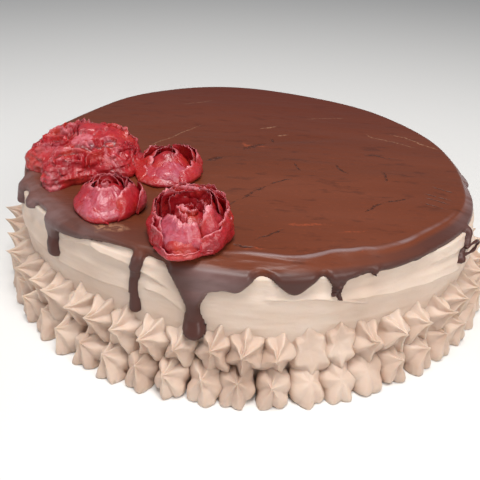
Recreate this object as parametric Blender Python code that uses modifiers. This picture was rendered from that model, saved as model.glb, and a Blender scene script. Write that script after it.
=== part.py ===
"""A round buttercream cake with a poured glaze, two piped star borders and four roses."""

import math
import random

import bmesh
import bpy
from mathutils import Matrix, Vector

# Driving dimensions, in metres and degrees. Angles run from the front (-Y) towards +X.
WALL_RADIUS = 0.1217          # buttercream wall just under its top edge
BASE_RADIUS = 0.1245          # buttercream wall at the resting plane
BODY_HEIGHT = 0.0623          # buttercream top at the axis
GLAZE_THICKNESS = 0.0024
GAP = 0.0003                  # clearance between neighbouring pieces
TOP_TILT = (-0.026, 0.008)    # slope of the top along X and Y
MERGE_ANGLE = 8.5             # facets of a joined piece closer than this in slope are merged
MERGE_DISTANCE = 0.00002      # points of a joined piece closer than this are one
TURN_STEPS = 64               # the body and the glaze share these steps, so their facets stay apart
FACET_CLEARANCE = 0.0006      # extra gap behind the band and drips, for the wall's facets

# Height of the buttercream's turned profile by radius; the first row is the base.
WALL_ROWS = (
    (BASE_RADIUS, 0.0012),
    (0.1230, 0.0470),
    (WALL_RADIUS, 0.0500),
    (WALL_RADIUS, 0.0574),
    (0.1186, 0.0610),
    (0.1100, BODY_HEIGHT),
)
PLAN_HEIGHT = 0.034           # the plan is round at the base and fully uneven above this height
BASE_BEVEL = 0.0012

# Slow waves of the plan: (waves a turn, size as a share of the radius, phase in degrees).
PLAN_WAVES = ((1, 0.0135, -15.0), (2, 0.006, 60.0), (3, 0.013, -55.0), (4, 0.0085, 24.0), (5, 0.012, -9.0))
PLAN_SWELLS = ((57.0, 24.0, 0.024), (-59.0, 24.0, 0.020))    # local swells: angle, reach in degrees, share

# Lower edge of the glaze band: mean height, its slow waves, and broad lobes
# (angle, half width in degrees, depth).
BAND_EDGE = 0.0588
BAND_WAVES = ((1, 0.0012, -50.0), (3, 0.0006, 30.0), (7, 0.0006, 100.0))
BAND_LOBES = (
    (-57.0, 4.0, 0.0035),
    (-47.0, 4.5, 0.0040),
    (-3.0, 5.5, 0.0062),
    (9.3, 5.0, 0.0078),
    (19.0, 2.6, 0.0060),
    (84.0, 4.5, 0.0050),
    (118.0, 6.0, 0.0070),
    (151.0, 4.0, 0.0045),
    (179.0, 7.0, 0.0075),
    (214.0, 4.5, 0.0055),
    (247.0, 6.0, 0.0065),
    (276.0, 4.0, 0.0045),
)

GLAZE_RIM = ((0.1100, BODY_HEIGHT, 0.15), (0.1186, 0.0610, 0.55), (WALL_RADIUS, 0.0578, 1.0))  # r, z, lean
BAND_DROP = 0.0020            # the turned band ends this far under its mean edge
BAND_ROUNDING = (0.0014, 0.55)  # height of its rounded lip, and the lip's share of the thickness
BAND_INNER_DROP = 0.0006
BAND_INNER_STEP = 0.4         # outward clearance of the level top, as a share of the gap
BAND_TOP = 0.0577             # points under this follow the waved edge

# Drips: angle, height of the tip, half widths at root, neck and bulb, thickness, lean in degrees.
DRIPS = (
    (-48.4, 0.0414, 0.0042, 0.0026, 0.0028, 0.0022, -0.8),
    (-22.5, 0.0320, 0.0032, 0.0019, 0.0026, 0.0021, -0.9),
    (-10.1, 0.0246, 0.0077, 0.0036, 0.0049, 0.0026, -0.6),
    (59.0, 0.0400, 0.0024, 0.0013, 0.0018, 0.0017, 0.7),
    (102.0, 0.0345, 0.0040, 0.0022, 0.0030, 0.0022, 0.5),
    (165.0, 0.0310, 0.0055, 0.0029, 0.0038, 0.0024, 0.7),
    (198.0, 0.0385, 0.0032, 0.0019, 0.0026, 0.0020, -0.5),
    (262.0, 0.0425, 0.0030, 0.0018, 0.0024, 0.0019, -0.4),
    (289.0, 0.0365, 0.0036, 0.0021, 0.0028, 0.0021, 0.5),
)
DRIP_ROOT = 0.0576            # height where a drip leaves the band
DRIP_NECK = 0.36              # share of the way down to the start of the neck
DRIP_BULB = (2.25, 0.93)      # start of the bulb and its widest level above the tip, in half widths
DRIP_TIP = 0.42               # width of the tip as a share of the bulb
DRIP_RISES = (0.95, 0.95, 0.92, 1.25, 0.60)    # thickness at each level
DRIP_SECTION = ((-1.0, 0.0), (-0.72, 0.78), (0.0, 1.0), (0.72, 0.78), (1.0, 0.0))  # across, outward

# Piped stars
STAR_LOBES = 6
STAR_FOOT = 1.13              # size of the plain foot, as a share of the star
STAR_BELLY = 0.30             # share of the reach where a star is widest
STAR_FURROW = 0.70            # depth of the furrows between crests, as a share of the radius
STAR_SEED = 11
STAR_COVER = (0.06, 1.1)      # stretch of wall behind a star: half angle in radians, half height as a share
UPPER_STARS = dict(
    count=56, first=0.9, height_z=0.0226, half_width=0.0088, half_height=0.0106,
    reach=0.0137, elevation=20.0, root_back=0.10, drift=(-0.0016, 0.0010), side="above",
)
LOWER_STARS = dict(
    count=55, first=-0.6, height_z=0.0052, half_width=0.0080, half_height=0.0104,
    reach=0.0135, elevation=44.0, root_back=0.75, drift=(-0.0006, 0.0), side="below",
)
LOWER_STAR_OFFSET = 0.0049    # root of a lower star, outside the wall
BORDER_SPLIT = (0.0134, 0.27)  # height at the wall and outward rise of the split between the borders
BORDER_SPLIT_GAP = 0.00025
BORDER_FLOOR = 0.0003         # the lower border stops just above the resting plane
FLOOR_STEP = 0.00005          # neighbouring stars end at slightly different heights

# Roses: centre, radius, height, height share of the filled cushion, and petals as
# (start angle from +X, span, distance from the axis, height, lean), lengths as shares.
# A negative lean closes the petal over the heart.
ROSE_SHEET = 0.0017           # thickness of a petal
PETAL_COLUMNS = 5
PETAL_SECTION = ((0.0, 1), (0.6, 1), (1.0, 0), (0.6, -1), (0.0, -1))  # share of the height, face of the sheet
PETAL_END = (0.62, 0.55)      # height and thickness at a petal's ends, as shares of its middle
PETAL_OPENING = (0.94, 0.10)  # distance from the axis at a petal's start, and its gain along the petal
PETAL_FOOT = 0.90             # distance at the foot, as a share of the petal's own
PETAL_BELLY = 0.10
CUSHION_RADII = (0.88, 0.60)  # radii of the filled cushion at foot and top, as shares
CUSHION_SINK = 0.0004         # the cushion starts this far under the foot plane and is trimmed there
HEART = (0.26, 0.13, 0.82, 0.12)  # radii and height of the rolled heart as shares, and its tilt
ROSES = {
    "rose_left": dict(
        centre=(-0.0880, -0.0345), radius=0.0272, height=0.0190, cushion=0.60,
        petals=((350, 100, 0.93, 0.72, -0.12), (78, 112, 0.92, 0.88, -0.06), (182, 78, 0.93, 0.58, -0.14),
                (252, 105, 0.95, 0.44, -0.08), (30, 120, 0.64, 0.98, -0.14), (160, 110, 0.62, 0.90, -0.18),
                (270, 115, 0.68, 0.78, -0.22)),
    ),
    "rose_front_bud": dict(
        centre=(-0.0657, -0.0785), radius=0.0168, height=0.0135, cushion=0.50,
        petals=((26, 130, 0.88, 0.88, -0.05), (150, 90, 0.95, 0.64, -0.24), (226, 98, 0.96, 0.80, -0.38),
                (315, 84, 0.93, 0.94, -0.22), (40, 140, 0.58, 1.00, -0.10)),
    ),
    "rose_back_bud": dict(
        centre=(-0.0428, -0.0375), radius=0.0178, height=0.0118, cushion=0.50,
        petals=((5, 92, 0.93, 1.00, -0.05), (88, 92, 0.90, 0.94, -0.05), (175, 70, 0.95, 0.62, -0.18),
                (232, 125, 0.96, 0.82, -0.42), (60, 120, 0.60, 0.96, -0.08)),
    ),
    "rose_open": dict(
        centre=(-0.0252, -0.1005), radius=0.0198, height=0.0182, cushion=0.30,
        petals=((20, 150, 0.95, 0.97, 0.03), (34, 122, 0.78, 1.00, 0.02), (162, 74, 0.95, 0.80, 0.05),
                (300, 86, 0.95, 0.82, 0.05), (234, 70, 0.94, 0.42, 0.14), (212, 78, 0.60, 0.82, -0.18),
                (292, 68, 0.64, 0.88, -0.18), (70, 190, 0.32, 0.88, -0.05)),
    ),
}


def make_material(name, colour, roughness, coat=0.0):
    """A Principled material with the piece's own colour."""
    material = bpy.data.materials.new(name)
    material.use_nodes = True
    shader = material.node_tree.nodes["Principled BSDF"]
    shader.inputs["Base Color"].default_value = (*colour, 1.0)
    shader.inputs["Roughness"].default_value = roughness
    shader.inputs["Metallic"].default_value = 0.0
    shader.inputs["Coat Weight"].default_value = coat
    return material


def plan_factor(angle):
    """Share by which the plan swells at an angle from the front."""
    factor = 1.0 + sum(size * math.cos(waves * (angle - math.radians(phase)))
                       for waves, size, phase in PLAN_WAVES)
    for centre, reach, share in PLAN_SWELLS:
        away = abs((math.degrees(angle) - centre + 180.0) % 360.0 - 180.0) / reach
        if away < 1.0:
            factor += share * (0.5 + 0.5 * math.cos(math.pi * away))
    return factor


def shaped(point):
    """Carry a point of the turned form to the uneven plan and the tilted top."""
    angle = math.atan2(point.x, -point.y)
    swell = 1.0 + (plan_factor(angle) - 1.0) * min(1.0, max(0.0, point.z) / PLAN_HEIGHT)
    height_share = point.z / BODY_HEIGHT
    rise = (TOP_TILT[0] * point.x + TOP_TILT[1] * point.y) * height_share
    return Vector((point.x * swell, point.y * swell, point.z + rise))


def wall_radius(z):
    """Radius of the turned buttercream wall at a height."""
    rows = WALL_ROWS
    if z <= rows[0][1]:
        return rows[0][0]
    for (r0, z0), (r1, z1) in zip(rows, rows[1:]):
        if z <= z1:
            return r0 + (r1 - r0) * (z - z0) / (z1 - z0)
    return rows[-1][0]


def on_wall(angle, z, out):
    """World point at an angle and height, a distance outside the wall."""
    radius = wall_radius(z) + out
    return shaped(Vector((radius * math.sin(angle), -radius * math.cos(angle), z)))


def band_edge(angle):
    """Height of the glaze band's lower edge at an angle, lobes included."""
    height = BAND_EDGE
    for waves, size, phase in BAND_WAVES:
        height += size * math.cos(waves * (angle - math.radians(phase)))
    for centre, half_width, depth in BAND_LOBES:
        away = abs((math.degrees(angle) - centre + 180.0) % 360.0 - 180.0) / half_width
        if away < 1.0:
            height -= depth * (0.5 + 0.5 * math.cos(math.pi * away))
    return height


def link(collection, name, mesh, material):
    """Put a mesh in the scene as a named object with its material."""
    mesh.materials.clear()
    mesh.materials.append(material)
    mesh.shade_smooth()
    mesh.set_sharp_from_angle(angle=math.radians(50.0))
    piece = bpy.data.objects.new(name, mesh)
    collection.objects.link(piece)
    return piece


def turned(name, profile):
    """Mesh of a profile turned about Z by a Screw modifier, shaped to the plan."""
    outline = bpy.data.meshes.new(name + "_profile")
    edges = [(i, i + 1) for i in range(len(profile) - 1)]
    outline.from_pydata([(r, 0.0, z) for r, z in profile], edges, [])
    guide = bpy.data.objects.new(name + "_turning", outline)
    bpy.context.scene.collection.objects.link(guide)
    screw = guide.modifiers.new("turn", "SCREW")
    screw.angle = 2.0 * math.pi
    screw.steps = TURN_STEPS
    screw.render_steps = TURN_STEPS
    screw.use_merge_vertices = True
    screw.merge_threshold = 0.00005
    bpy.context.view_layer.update()
    evaluated = guide.evaluated_get(bpy.context.evaluated_depsgraph_get())
    mesh = bpy.data.meshes.new_from_object(evaluated)
    bpy.data.objects.remove(guide)
    form = bmesh.new()
    form.from_mesh(mesh)
    bmesh.ops.recalc_face_normals(form, faces=form.faces)
    form.to_mesh(mesh)
    form.free()
    mesh.name = name
    return mesh


def united(name, meshes, solver="MANIFOLD"):
    """One mesh from overlapping closed meshes, by a single Boolean union."""
    group = bpy.data.collections.new(name + "_pieces")
    bpy.context.scene.collection.children.link(group)
    for index, mesh in enumerate(meshes[1:]):
        group.objects.link(bpy.data.objects.new(f"{name}_{index}", mesh))
    whole = boolean(meshes[0], group, "UNION", solver)
    for piece in list(group.objects):
        bpy.data.objects.remove(piece)
    bpy.data.collections.remove(group)
    whole.name = name
    return whole


def simplified(mesh):
    """The same closed mesh with nearly flat neighbouring facets merged."""
    form = bmesh.new()
    form.from_mesh(mesh)
    bmesh.ops.remove_doubles(form, verts=form.verts, dist=MERGE_DISTANCE)
    bmesh.ops.dissolve_limit(form, angle_limit=math.radians(MERGE_ANGLE), verts=form.verts, edges=form.edges)
    bmesh.ops.triangulate(form, faces=form.faces)
    form.to_mesh(mesh)
    form.free()
    return mesh


def boolean(mesh, group, operation, solver="MANIFOLD"):
    """Evaluated result of a Boolean between a mesh and a collection."""
    base = bpy.data.objects.new("boolean_base", mesh)
    bpy.context.scene.collection.objects.link(base)
    modifier = base.modifiers.new(operation.lower(), "BOOLEAN")
    modifier.operation = operation
    modifier.solver = solver
    modifier.operand_type = "COLLECTION"
    modifier.collection = group
    bpy.context.view_layer.update()
    result = bpy.data.meshes.new_from_object(base.evaluated_get(bpy.context.evaluated_depsgraph_get()))
    bpy.data.objects.remove(base)
    return result


def lofted(rings):
    """Closed form through rings of equal length, with flat ends."""
    form = bmesh.new()
    rows = [[form.verts.new(point) for point in ring] for ring in rings]
    for lower, upper in zip(rows, rows[1:]):
        for i, vertex in enumerate(lower):
            j = (i + 1) % len(lower)
            form.faces.new((vertex, lower[j], upper[j], upper[i]))
    form.faces.new(list(reversed(rows[0])))
    form.faces.new(rows[-1])
    bmesh.ops.recalc_face_normals(form, faces=form.faces)
    return form


def finished(form, name, planes=()):
    """Mesh from a bmesh, trimmed behind each plane (point, normal) and capped."""
    for point, normal in planes:
        geometry = form.verts[:] + form.edges[:] + form.faces[:]
        bmesh.ops.bisect_plane(form, geom=geometry, dist=1e-7, plane_co=point, plane_no=normal,
                               clear_inner=True)
        rim = [edge for edge in form.edges if edge.is_boundary]
        if rim:
            bmesh.ops.holes_fill(form, edges=rim, sides=0)
    bmesh.ops.remove_doubles(form, verts=form.verts, dist=2e-6)
    bmesh.ops.triangulate(form, faces=form.faces)
    bmesh.ops.recalc_face_normals(form, faces=form.faces)
    mesh = bpy.data.meshes.new(name)
    form.to_mesh(mesh)
    form.free()
    return mesh


def body_mesh():
    """Buttercream body: a turned wall with a soft shoulder and a flat base."""
    rim = [(r, z) for r, z in reversed(WALL_ROWS)]
    profile = [(0.0, BODY_HEIGHT), *rim, (BASE_RADIUS - BASE_BEVEL, 0.0), (0.0, 0.0)]
    mesh = turned("cake_body", profile)
    for vertex in mesh.vertices:
        vertex.co = shaped(vertex.co)
    return mesh


def glaze_band_mesh():
    """Glaze cap: a turned shell over the top and shoulder whose lower edge is waved."""
    outer = GAP + GLAZE_THICKNESS
    edge = BAND_EDGE - BAND_DROP
    lip_drop, lip_share = BAND_ROUNDING
    outside = [(0.0, BODY_HEIGHT + outer)]
    outside += [(r + outer * lean, z + outer * math.sqrt(1.0 - lean * lean)) for r, z, lean in GLAZE_RIM]
    outside += [(WALL_RADIUS + outer, edge), (WALL_RADIUS + outer * lip_share, edge - lip_drop)]
    inside = [(WALL_RADIUS + GAP + FACET_CLEARANCE, edge - BAND_INNER_DROP)]
    inside += [(r + GAP * (BAND_INNER_STEP + lean), z + GAP) for r, z, lean in reversed(GLAZE_RIM)]
    inside += [(0.0, BODY_HEIGHT + GAP)]
    mesh = turned("chocolate_glaze", outside + inside)
    for vertex in mesh.vertices:
        point = vertex.co.copy()
        if point.z < BAND_TOP:
            angle = math.atan2(point.x, -point.y)
            point.z += band_edge(angle) - BAND_EDGE
            spread = 1.0 + (wall_radius(point.z) - WALL_RADIUS) / WALL_RADIUS
            point.x *= spread
            point.y *= spread
        vertex.co = shaped(point)
    return mesh


def drip_mesh(index, grow=0.0):
    """A drip: sections across the wall lofted from root to a rounded bulb."""
    angle, tip, root_half, neck_half, bulb_half, thickness, lean = DRIPS[index]
    fall = DRIP_ROOT - tip
    bulb_start, bulb_widest = (bulb_half * share for share in DRIP_BULB)
    levels = (
        (DRIP_ROOT, root_half),
        (DRIP_ROOT - DRIP_NECK * fall, neck_half),
        (tip + bulb_start, neck_half),
        (tip + bulb_widest, bulb_half),
        (tip, bulb_half * DRIP_TIP),
    )
    rings = []
    for (z, half), rise in zip(levels, DRIP_RISES):
        centre = math.radians(angle + lean * (DRIP_ROOT - z) / fall)
        half += grow
        inner = GAP + FACET_CLEARANCE + half * half / (2.0 * WALL_RADIUS) - 2.0 * grow
        outer = GAP + thickness * rise + grow
        level = z - (grow if z == tip else 0.0)
        rings.append([on_wall(centre + across * half / WALL_RADIUS, level, outer * share if share else inner)
                      for across, share in DRIP_SECTION])
    return finished(lofted(rings), f"drip_{index}")


def star_form(foot, crown, tip):
    """Closed star: a plain foot, a crown of crests and furrows, and a point."""
    form = bmesh.new()
    low = [form.verts.new(point) for point in foot]
    high = [form.verts.new(point) for point in crown]
    apex = form.verts.new(tip)
    form.faces.new(list(reversed(low)))
    for k, vertex in enumerate(low):
        crest, furrow, following = high[2 * k], high[2 * k + 1], high[(2 * k + 2) % len(high)]
        form.faces.new((vertex, furrow, crest))
        form.faces.new((vertex, low[(k + 1) % len(low)], furrow))
        form.faces.new((low[(k + 1) % len(low)], following, furrow))
        form.faces.new((crest, furrow, apex))
        form.faces.new((furrow, following, apex))
    bmesh.ops.recalc_face_normals(form, faces=form.faces)
    return form


def star_mesh(spec, angle, index, draw):
    """One piped star: lobed rings about a tilted axis drawn to a sharp tip."""
    size = draw.uniform(0.93, 1.07)
    reach = spec["reach"] * draw.uniform(0.90, 1.12)
    elevation = math.radians(spec["elevation"] + draw.uniform(-6.0, 6.0))
    turn = draw.uniform(-0.5, 0.5) * 2.0 * math.pi / STAR_LOBES
    drift = Vector((spec["drift"][0] + draw.uniform(-0.0016, 0.0016),
                    spec["drift"][1] + draw.uniform(-0.0010, 0.0010)))
    level = spec["height_z"] + draw.uniform(-0.0005, 0.0005)
    outward = Vector((math.sin(angle), -math.cos(angle), 0.0))
    across = Vector((math.cos(angle), math.sin(angle), 0.0))
    axis = outward * math.cos(elevation) + Vector((0.0, 0.0, math.sin(elevation)))
    upright = Vector((0.0, 0.0, math.cos(elevation))) - outward * math.sin(elevation)
    out = GAP + (LOWER_STAR_OFFSET if spec["side"] == "below" else 0.0)
    root = on_wall(angle, level, out)
    half_width = spec["half_width"] * root.to_2d().length / (WALL_RADIUS + out)

    def at(along, around, radius):
        """Point at a share of the reach, an angle about the axis and a share of the size."""
        pull = max(0.0, along) ** 2
        return (root + axis * (along * reach)
                + across * (half_width * radius * math.cos(around) + drift.x * pull)
                + upright * (spec["half_height"] * radius * math.sin(around) + drift.y * pull))

    step = math.pi / STAR_LOBES
    foot = [at(-spec["root_back"], 2.0 * step * k, STAR_FOOT) for k in range(STAR_LOBES)]
    crown = [at(STAR_BELLY, turn + step * k, size * (STAR_FURROW if k % 2 else 1.0))
             for k in range(2 * STAR_LOBES)]
    form = star_form(foot, crown, at(1.0, 0.0, 0.0))
    cover_angle, cover_share = STAR_COVER
    cover_z = spec["half_height"] * cover_share
    wall = max((on_wall(angle + side, max(0.0, level + rise), GAP) - Vector((0, 0, level))).to_2d().length
               for side in (-cover_angle, 0.0, cover_angle) for rise in (-cover_z, 0.0, cover_z))
    split_low, split_rise = BORDER_SPLIT
    split_normal = (Vector((0.0, 0.0, 1.0)) - outward * split_rise).normalized()
    split_point = outward * WALL_RADIUS + Vector((0.0, 0.0, split_low))
    planes = [(outward * wall, outward)]
    if spec["side"] == "above":
        planes.append((split_point + split_normal * BORDER_SPLIT_GAP, split_normal))
    else:
        planes.append((split_point - split_normal * BORDER_SPLIT_GAP, -split_normal))
        floor = BORDER_FLOOR + FLOOR_STEP * (index % 5)
        planes.append((Vector((0.0, 0.0, floor)), Vector((0.0, 0.0, 1.0))))
    return finished(form, f"star_{index}", planes)


def border_mesh(name, spec):
    """A ring of piped stars, each a little different, joined where they touch."""
    draw = random.Random(STAR_SEED + spec["count"])
    pitch = 360.0 / spec["count"]
    stars = []
    for index in range(spec["count"]):
        angle = math.radians(spec["first"] + pitch * index + draw.uniform(-0.06, 0.06) * pitch)
        stars.append(star_mesh(spec, angle, index, draw))
    return simplified(united(name, stars))


def petal_mesh(name, rose, petal, foot):
    """A petal: a curved sheet wrapped about the rose's axis, leaning outward."""
    start, span, distance, height, lean = petal
    sections = []
    for i in range(PETAL_COLUMNS + 1):
        share = i / PETAL_COLUMNS
        around = math.radians(start + span * share)
        swell = math.sin(math.pi * share) ** 0.5 if 0 < i < PETAL_COLUMNS else 0.0
        top, thick = (end + (1.0 - end) * swell for end in PETAL_END)
        top *= rose["height"] * height
        spread = rose["radius"] * distance * (PETAL_OPENING[0] + PETAL_OPENING[1] * share)
        ring = []
        for rise, side in PETAL_SECTION:
            out = spread * (PETAL_FOOT + lean * rise + PETAL_BELLY * math.sin(math.pi * rise))
            out += side * thick * ROSE_SHEET * 0.5
            ring.append(foot + Vector((out * math.cos(around), out * math.sin(around), top * rise)))
        sections.append(ring)
    return finished(lofted(sections), name)


def cone_mesh(name, sides, lower, upper, depth, middle, tilt=0.0):
    """A closed cone frustum about an upright or slightly tilted axis, at its middle point."""
    form = bmesh.new()
    bmesh.ops.create_cone(form, cap_ends=True, segments=sides, radius1=lower, radius2=upper, depth=depth)
    bmesh.ops.rotate(form, verts=form.verts, cent=(0, 0, 0), matrix=Matrix.Rotation(tilt, 3, "X"))
    bmesh.ops.translate(form, verts=form.verts, vec=middle)
    return finished(form, name)


def rose_mesh(name, rose):
    """A rose: wrapped petals standing in a cushion round a rolled heart."""
    x, y = rose["centre"]
    top_rise = TOP_TILT[0] * x + TOP_TILT[1] * y
    foot = Vector((x, y, BODY_HEIGHT + GLAZE_THICKNESS + 2.0 * GAP + top_rise))
    radius, height = rose["radius"], rose["height"]
    depth = height * rose["cushion"]
    middle = foot + Vector((0.0, 0.0, depth * 0.5 - CUSHION_SINK))
    lower, upper = (radius * share for share in CUSHION_RADII)
    pieces = [cone_mesh(name + "_cushion", 12, lower, upper, depth, middle)]
    lower, upper, depth = radius * HEART[0], radius * HEART[1], height * HEART[2]
    middle = foot + Vector((0.0, 0.0, depth * 0.5))
    pieces.append(cone_mesh(name + "_heart", 7, lower, upper, depth, middle, HEART[3]))
    for index, petal in enumerate(rose["petals"]):
        pieces.append(petal_mesh(f"{name}_petal_{index}", rose, petal, foot))
    form = bmesh.new()
    form.from_mesh(simplified(united(name, pieces)))
    slope = Vector((-TOP_TILT[0], -TOP_TILT[1], 1.0)).normalized()
    return finished(form, name, [(foot, slope)])


def main():
    for thing in list(bpy.data.objects):
        bpy.data.objects.remove(thing)
    cake = bpy.data.collections.new("layer_cake")
    bpy.context.scene.collection.children.link(cake)
    buttercream = make_material("buttercream", (0.73, 0.56, 0.43), 0.55)
    glaze = make_material("chocolate_glaze", (0.105, 0.038, 0.020), 0.30, 0.3)
    red_paste = make_material("red_paste", (0.42, 0.018, 0.028), 0.32, 0.3)

    link(cake, "cake_body", body_mesh(), buttercream)
    drips = [drip_mesh(index) for index in range(len(DRIPS))]
    link(cake, "chocolate_glaze", united("chocolate_glaze", [glaze_band_mesh(), *drips]), glaze)

    clearance = bpy.data.collections.new("cutters")
    bpy.context.scene.collection.children.link(clearance)
    for index, drip in enumerate(DRIPS):
        if drip[1] < UPPER_STARS["height_z"] + UPPER_STARS["half_height"] + 0.003:
            cutter = bpy.data.objects.new(f"drip_clearance_{index}", drip_mesh(index, GAP))
            cutter.display_type = "WIRE"
            cutter.hide_render = True
            clearance.objects.link(cutter)
    upper = boolean(border_mesh("upper_star_border", UPPER_STARS), clearance, "DIFFERENCE")
    link(cake, "upper_star_border", upper, buttercream)
    link(cake, "lower_star_border", border_mesh("lower_star_border", LOWER_STARS), buttercream)
    for name, rose in ROSES.items():
        link(cake, name, rose_mesh(name, rose), red_paste)


main()
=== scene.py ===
import math
import random

import bpy
import numpy as np
from mathutils import Matrix, Vector


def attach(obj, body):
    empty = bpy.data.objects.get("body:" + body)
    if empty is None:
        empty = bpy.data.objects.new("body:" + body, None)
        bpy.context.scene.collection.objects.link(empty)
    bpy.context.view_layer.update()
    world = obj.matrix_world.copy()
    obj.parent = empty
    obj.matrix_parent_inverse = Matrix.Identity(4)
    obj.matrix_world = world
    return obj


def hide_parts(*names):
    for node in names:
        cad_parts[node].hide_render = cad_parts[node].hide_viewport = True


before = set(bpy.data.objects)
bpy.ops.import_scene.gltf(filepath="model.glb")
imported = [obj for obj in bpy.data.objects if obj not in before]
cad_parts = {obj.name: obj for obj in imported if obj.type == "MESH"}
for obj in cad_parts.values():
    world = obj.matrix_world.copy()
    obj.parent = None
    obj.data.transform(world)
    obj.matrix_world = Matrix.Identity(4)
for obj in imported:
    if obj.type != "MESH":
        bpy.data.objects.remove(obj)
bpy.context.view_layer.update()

# All lengths are metres. Angles on the cake run from the front (-Y) towards +X.

# Numbers shared by every piece

cakePlan = {
    "rimRadius": 0.119,          # radius where the top turns into the shoulder
    # where the rim draws in or out: angle, reach to the left and right, change of radius
    "rimWaves": ((0.0, 30.0, 13.0, -0.0086), (9.5, 8.0, 8.0, -0.003), (20.0, 13.0, 12.0, -0.0077),
                 (28.0, 6.0, 12.0, -0.003), (50.0, 30.0, 60.0, -0.0064),
                 (-62.0, 22.0, 30.0, -0.0035), (-30.0, 14.0, 10.0, 0.0025), (150.0, 30.0, 40.0, 0.0012)),
    "cornerRadius": 0.1212,
    "cornerHeight": 0.0588,
    "bodyHeight": 0.0623,
    "planHeight": 0.034,          # the plan is round at the base and fully uneven above this
    "tilt": (-0.026, 0.008),
    "waves": ((1, 0.0135, -15.0), (2, 0.006, 60.0), (3, 0.013, -55.0), (4, 0.0085, 24.0), (5, 0.012, -9.0)),
    "swells": ((57.0, 24.0, 0.024), (-59.0, 24.0, 0.02)),    # angle, reach and share of local swells
    "wallHeights": (0.0, 0.044, 0.0475, 0.0505, 0.059),
    "wallRadii": (0.1245, 0.1231, 0.1229, 0.1218, 0.1216),
    "cornerSoftness": 0.0005,
    "leastShoulder": 0.0018,      # the rim stays at least this far inside the corner
    "rimRipple": (0.0004, 9.0, 2.0),    # size, waves round the rim, phase
}


def smoothStep(value, low=0.0, high=1.0):
    # 3t^2 - 2t^3 of the share between low and high
    t = np.clip((value - low) / (high - low), 0.0, 1.0)
    return t * t * (3.0 - 2.0 * t)


def roundAngles(count):
    # equal steps once round a circle, in radians
    return np.linspace(0.0, 2.0 * np.pi, count, endpoint=False)


def angleApart(angle, centre):
    # signed difference of two angles in degrees, wrapped to -180..180
    return (angle - centre + 180.0) % 360.0 - 180.0


def hill(angle, centre, left, right=None):
    # raised cosine, 1 at the centre, 0 at its reach to the left and right, angles in degrees; one reach
    # given stands for both
    right = left if right is None else right
    away = angleApart(angle, centre)
    share = np.abs(away) / np.where(away < 0.0, left, right)
    return np.where(share < 1.0, 0.5 + 0.5 * np.cos(np.pi * np.minimum(share, 1.0)), 0.0)


def latticeValue(ix, iy, iz, seed):
    # repeatable value in 0..1 for whole-number lattice points, by folding a large sine
    folded = np.sin(ix * 127.1 + iy * 311.7 + iz * 74.7 + seed * 53.3) * 43758.5453
    return folded - np.floor(folded)


def softNoise(x, y, z, seed=0):
    # value noise, -1..1: lattice values blended with smooth steps along three axes
    ix, iy, iz = np.floor(x), np.floor(y), np.floor(z)
    fx, fy, fz = (smoothStep(part) for part in (x - ix, y - iy, z - iz))
    total = 0.0
    for dx in (0, 1):
        for dy in (0, 1):
            for dz in (0, 1):
                weight = (fx if dx else 1 - fx) * (fy if dy else 1 - fy) * (fz if dz else 1 - fz)
                total = total + weight * latticeValue(ix + dx, iy + dy, iz + dz, seed)
    return total * 2.0 - 1.0


def layeredNoise(x, y, z, seed=0, layers=3):
    # softNoise at doubling scales and halving heights
    return sum(softNoise(x * 2 ** k, y * 2 ** k, z * 2 ** k, seed + 7 * k) * 0.5 ** k for k in range(layers))


def planFactor(angle):
    # one plus a few cosine waves round the plan and two local swells, angle in radians
    waved = sum(size * np.cos(waves * (angle - math.radians(phase)))
                for waves, size, phase in cakePlan["waves"])
    return 1.0 + waved + sum(share * hill(np.degrees(angle), centre, reach)
                             for centre, reach, share in cakePlan["swells"])


def shapedPoints(x, y, z):
    # carries a turned form to the uneven plan and the tilted top, and stacks the coordinates
    angle = np.arctan2(x, -y)
    swell = 1.0 + (planFactor(angle) - 1.0) * np.clip(z / cakePlan["planHeight"], 0.0, 1.0)
    tiltX, tiltY = cakePlan["tilt"]
    lift = (tiltX * x + tiltY * y) * z / cakePlan["bodyHeight"]
    return np.stack((x * swell, y * swell, z + lift), axis=-1)


def rimRadiusAt(angle):
    # radius of the top's rim: the usual radius and a few broad changes along the turn
    degrees = np.degrees(angle)
    size, waves, phase = cakePlan["rimRipple"]
    radius = cakePlan["rimRadius"] + size * np.cos(waves * angle + phase)
    for centre, left, right, change in cakePlan["rimWaves"]:
        radius = radius + change * hill(degrees, centre, left, right)
    return np.minimum(radius, cakePlan["cornerRadius"] - cakePlan["leastShoulder"])


def profilePoint(angle, down):
    # radius and height at a distance down the profile from the rim: flat top, the sloping shoulder,
    # and the wall under its corner
    rim = rimRadiusAt(angle)
    corner, cornerZ, top = cakePlan["cornerRadius"], cakePlan["cornerHeight"], cakePlan["bodyHeight"]
    shoulder = np.hypot(corner - rim, top - cornerZ)
    share = np.clip(down / shoulder, 0.0, 1.0)
    wallZ = cornerZ - np.maximum(down - shoulder, 0.0)
    wallR = np.interp(wallZ, cakePlan["wallHeights"], cakePlan["wallRadii"])
    radius = np.where(down < 0.0, rim + down, np.where(down < shoulder, rim + (corner - rim) * share, wallR))
    height = np.where(down < 0.0, top, np.where(down < shoulder, top + (cornerZ - top) * share, wallZ))
    return radius, height


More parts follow.
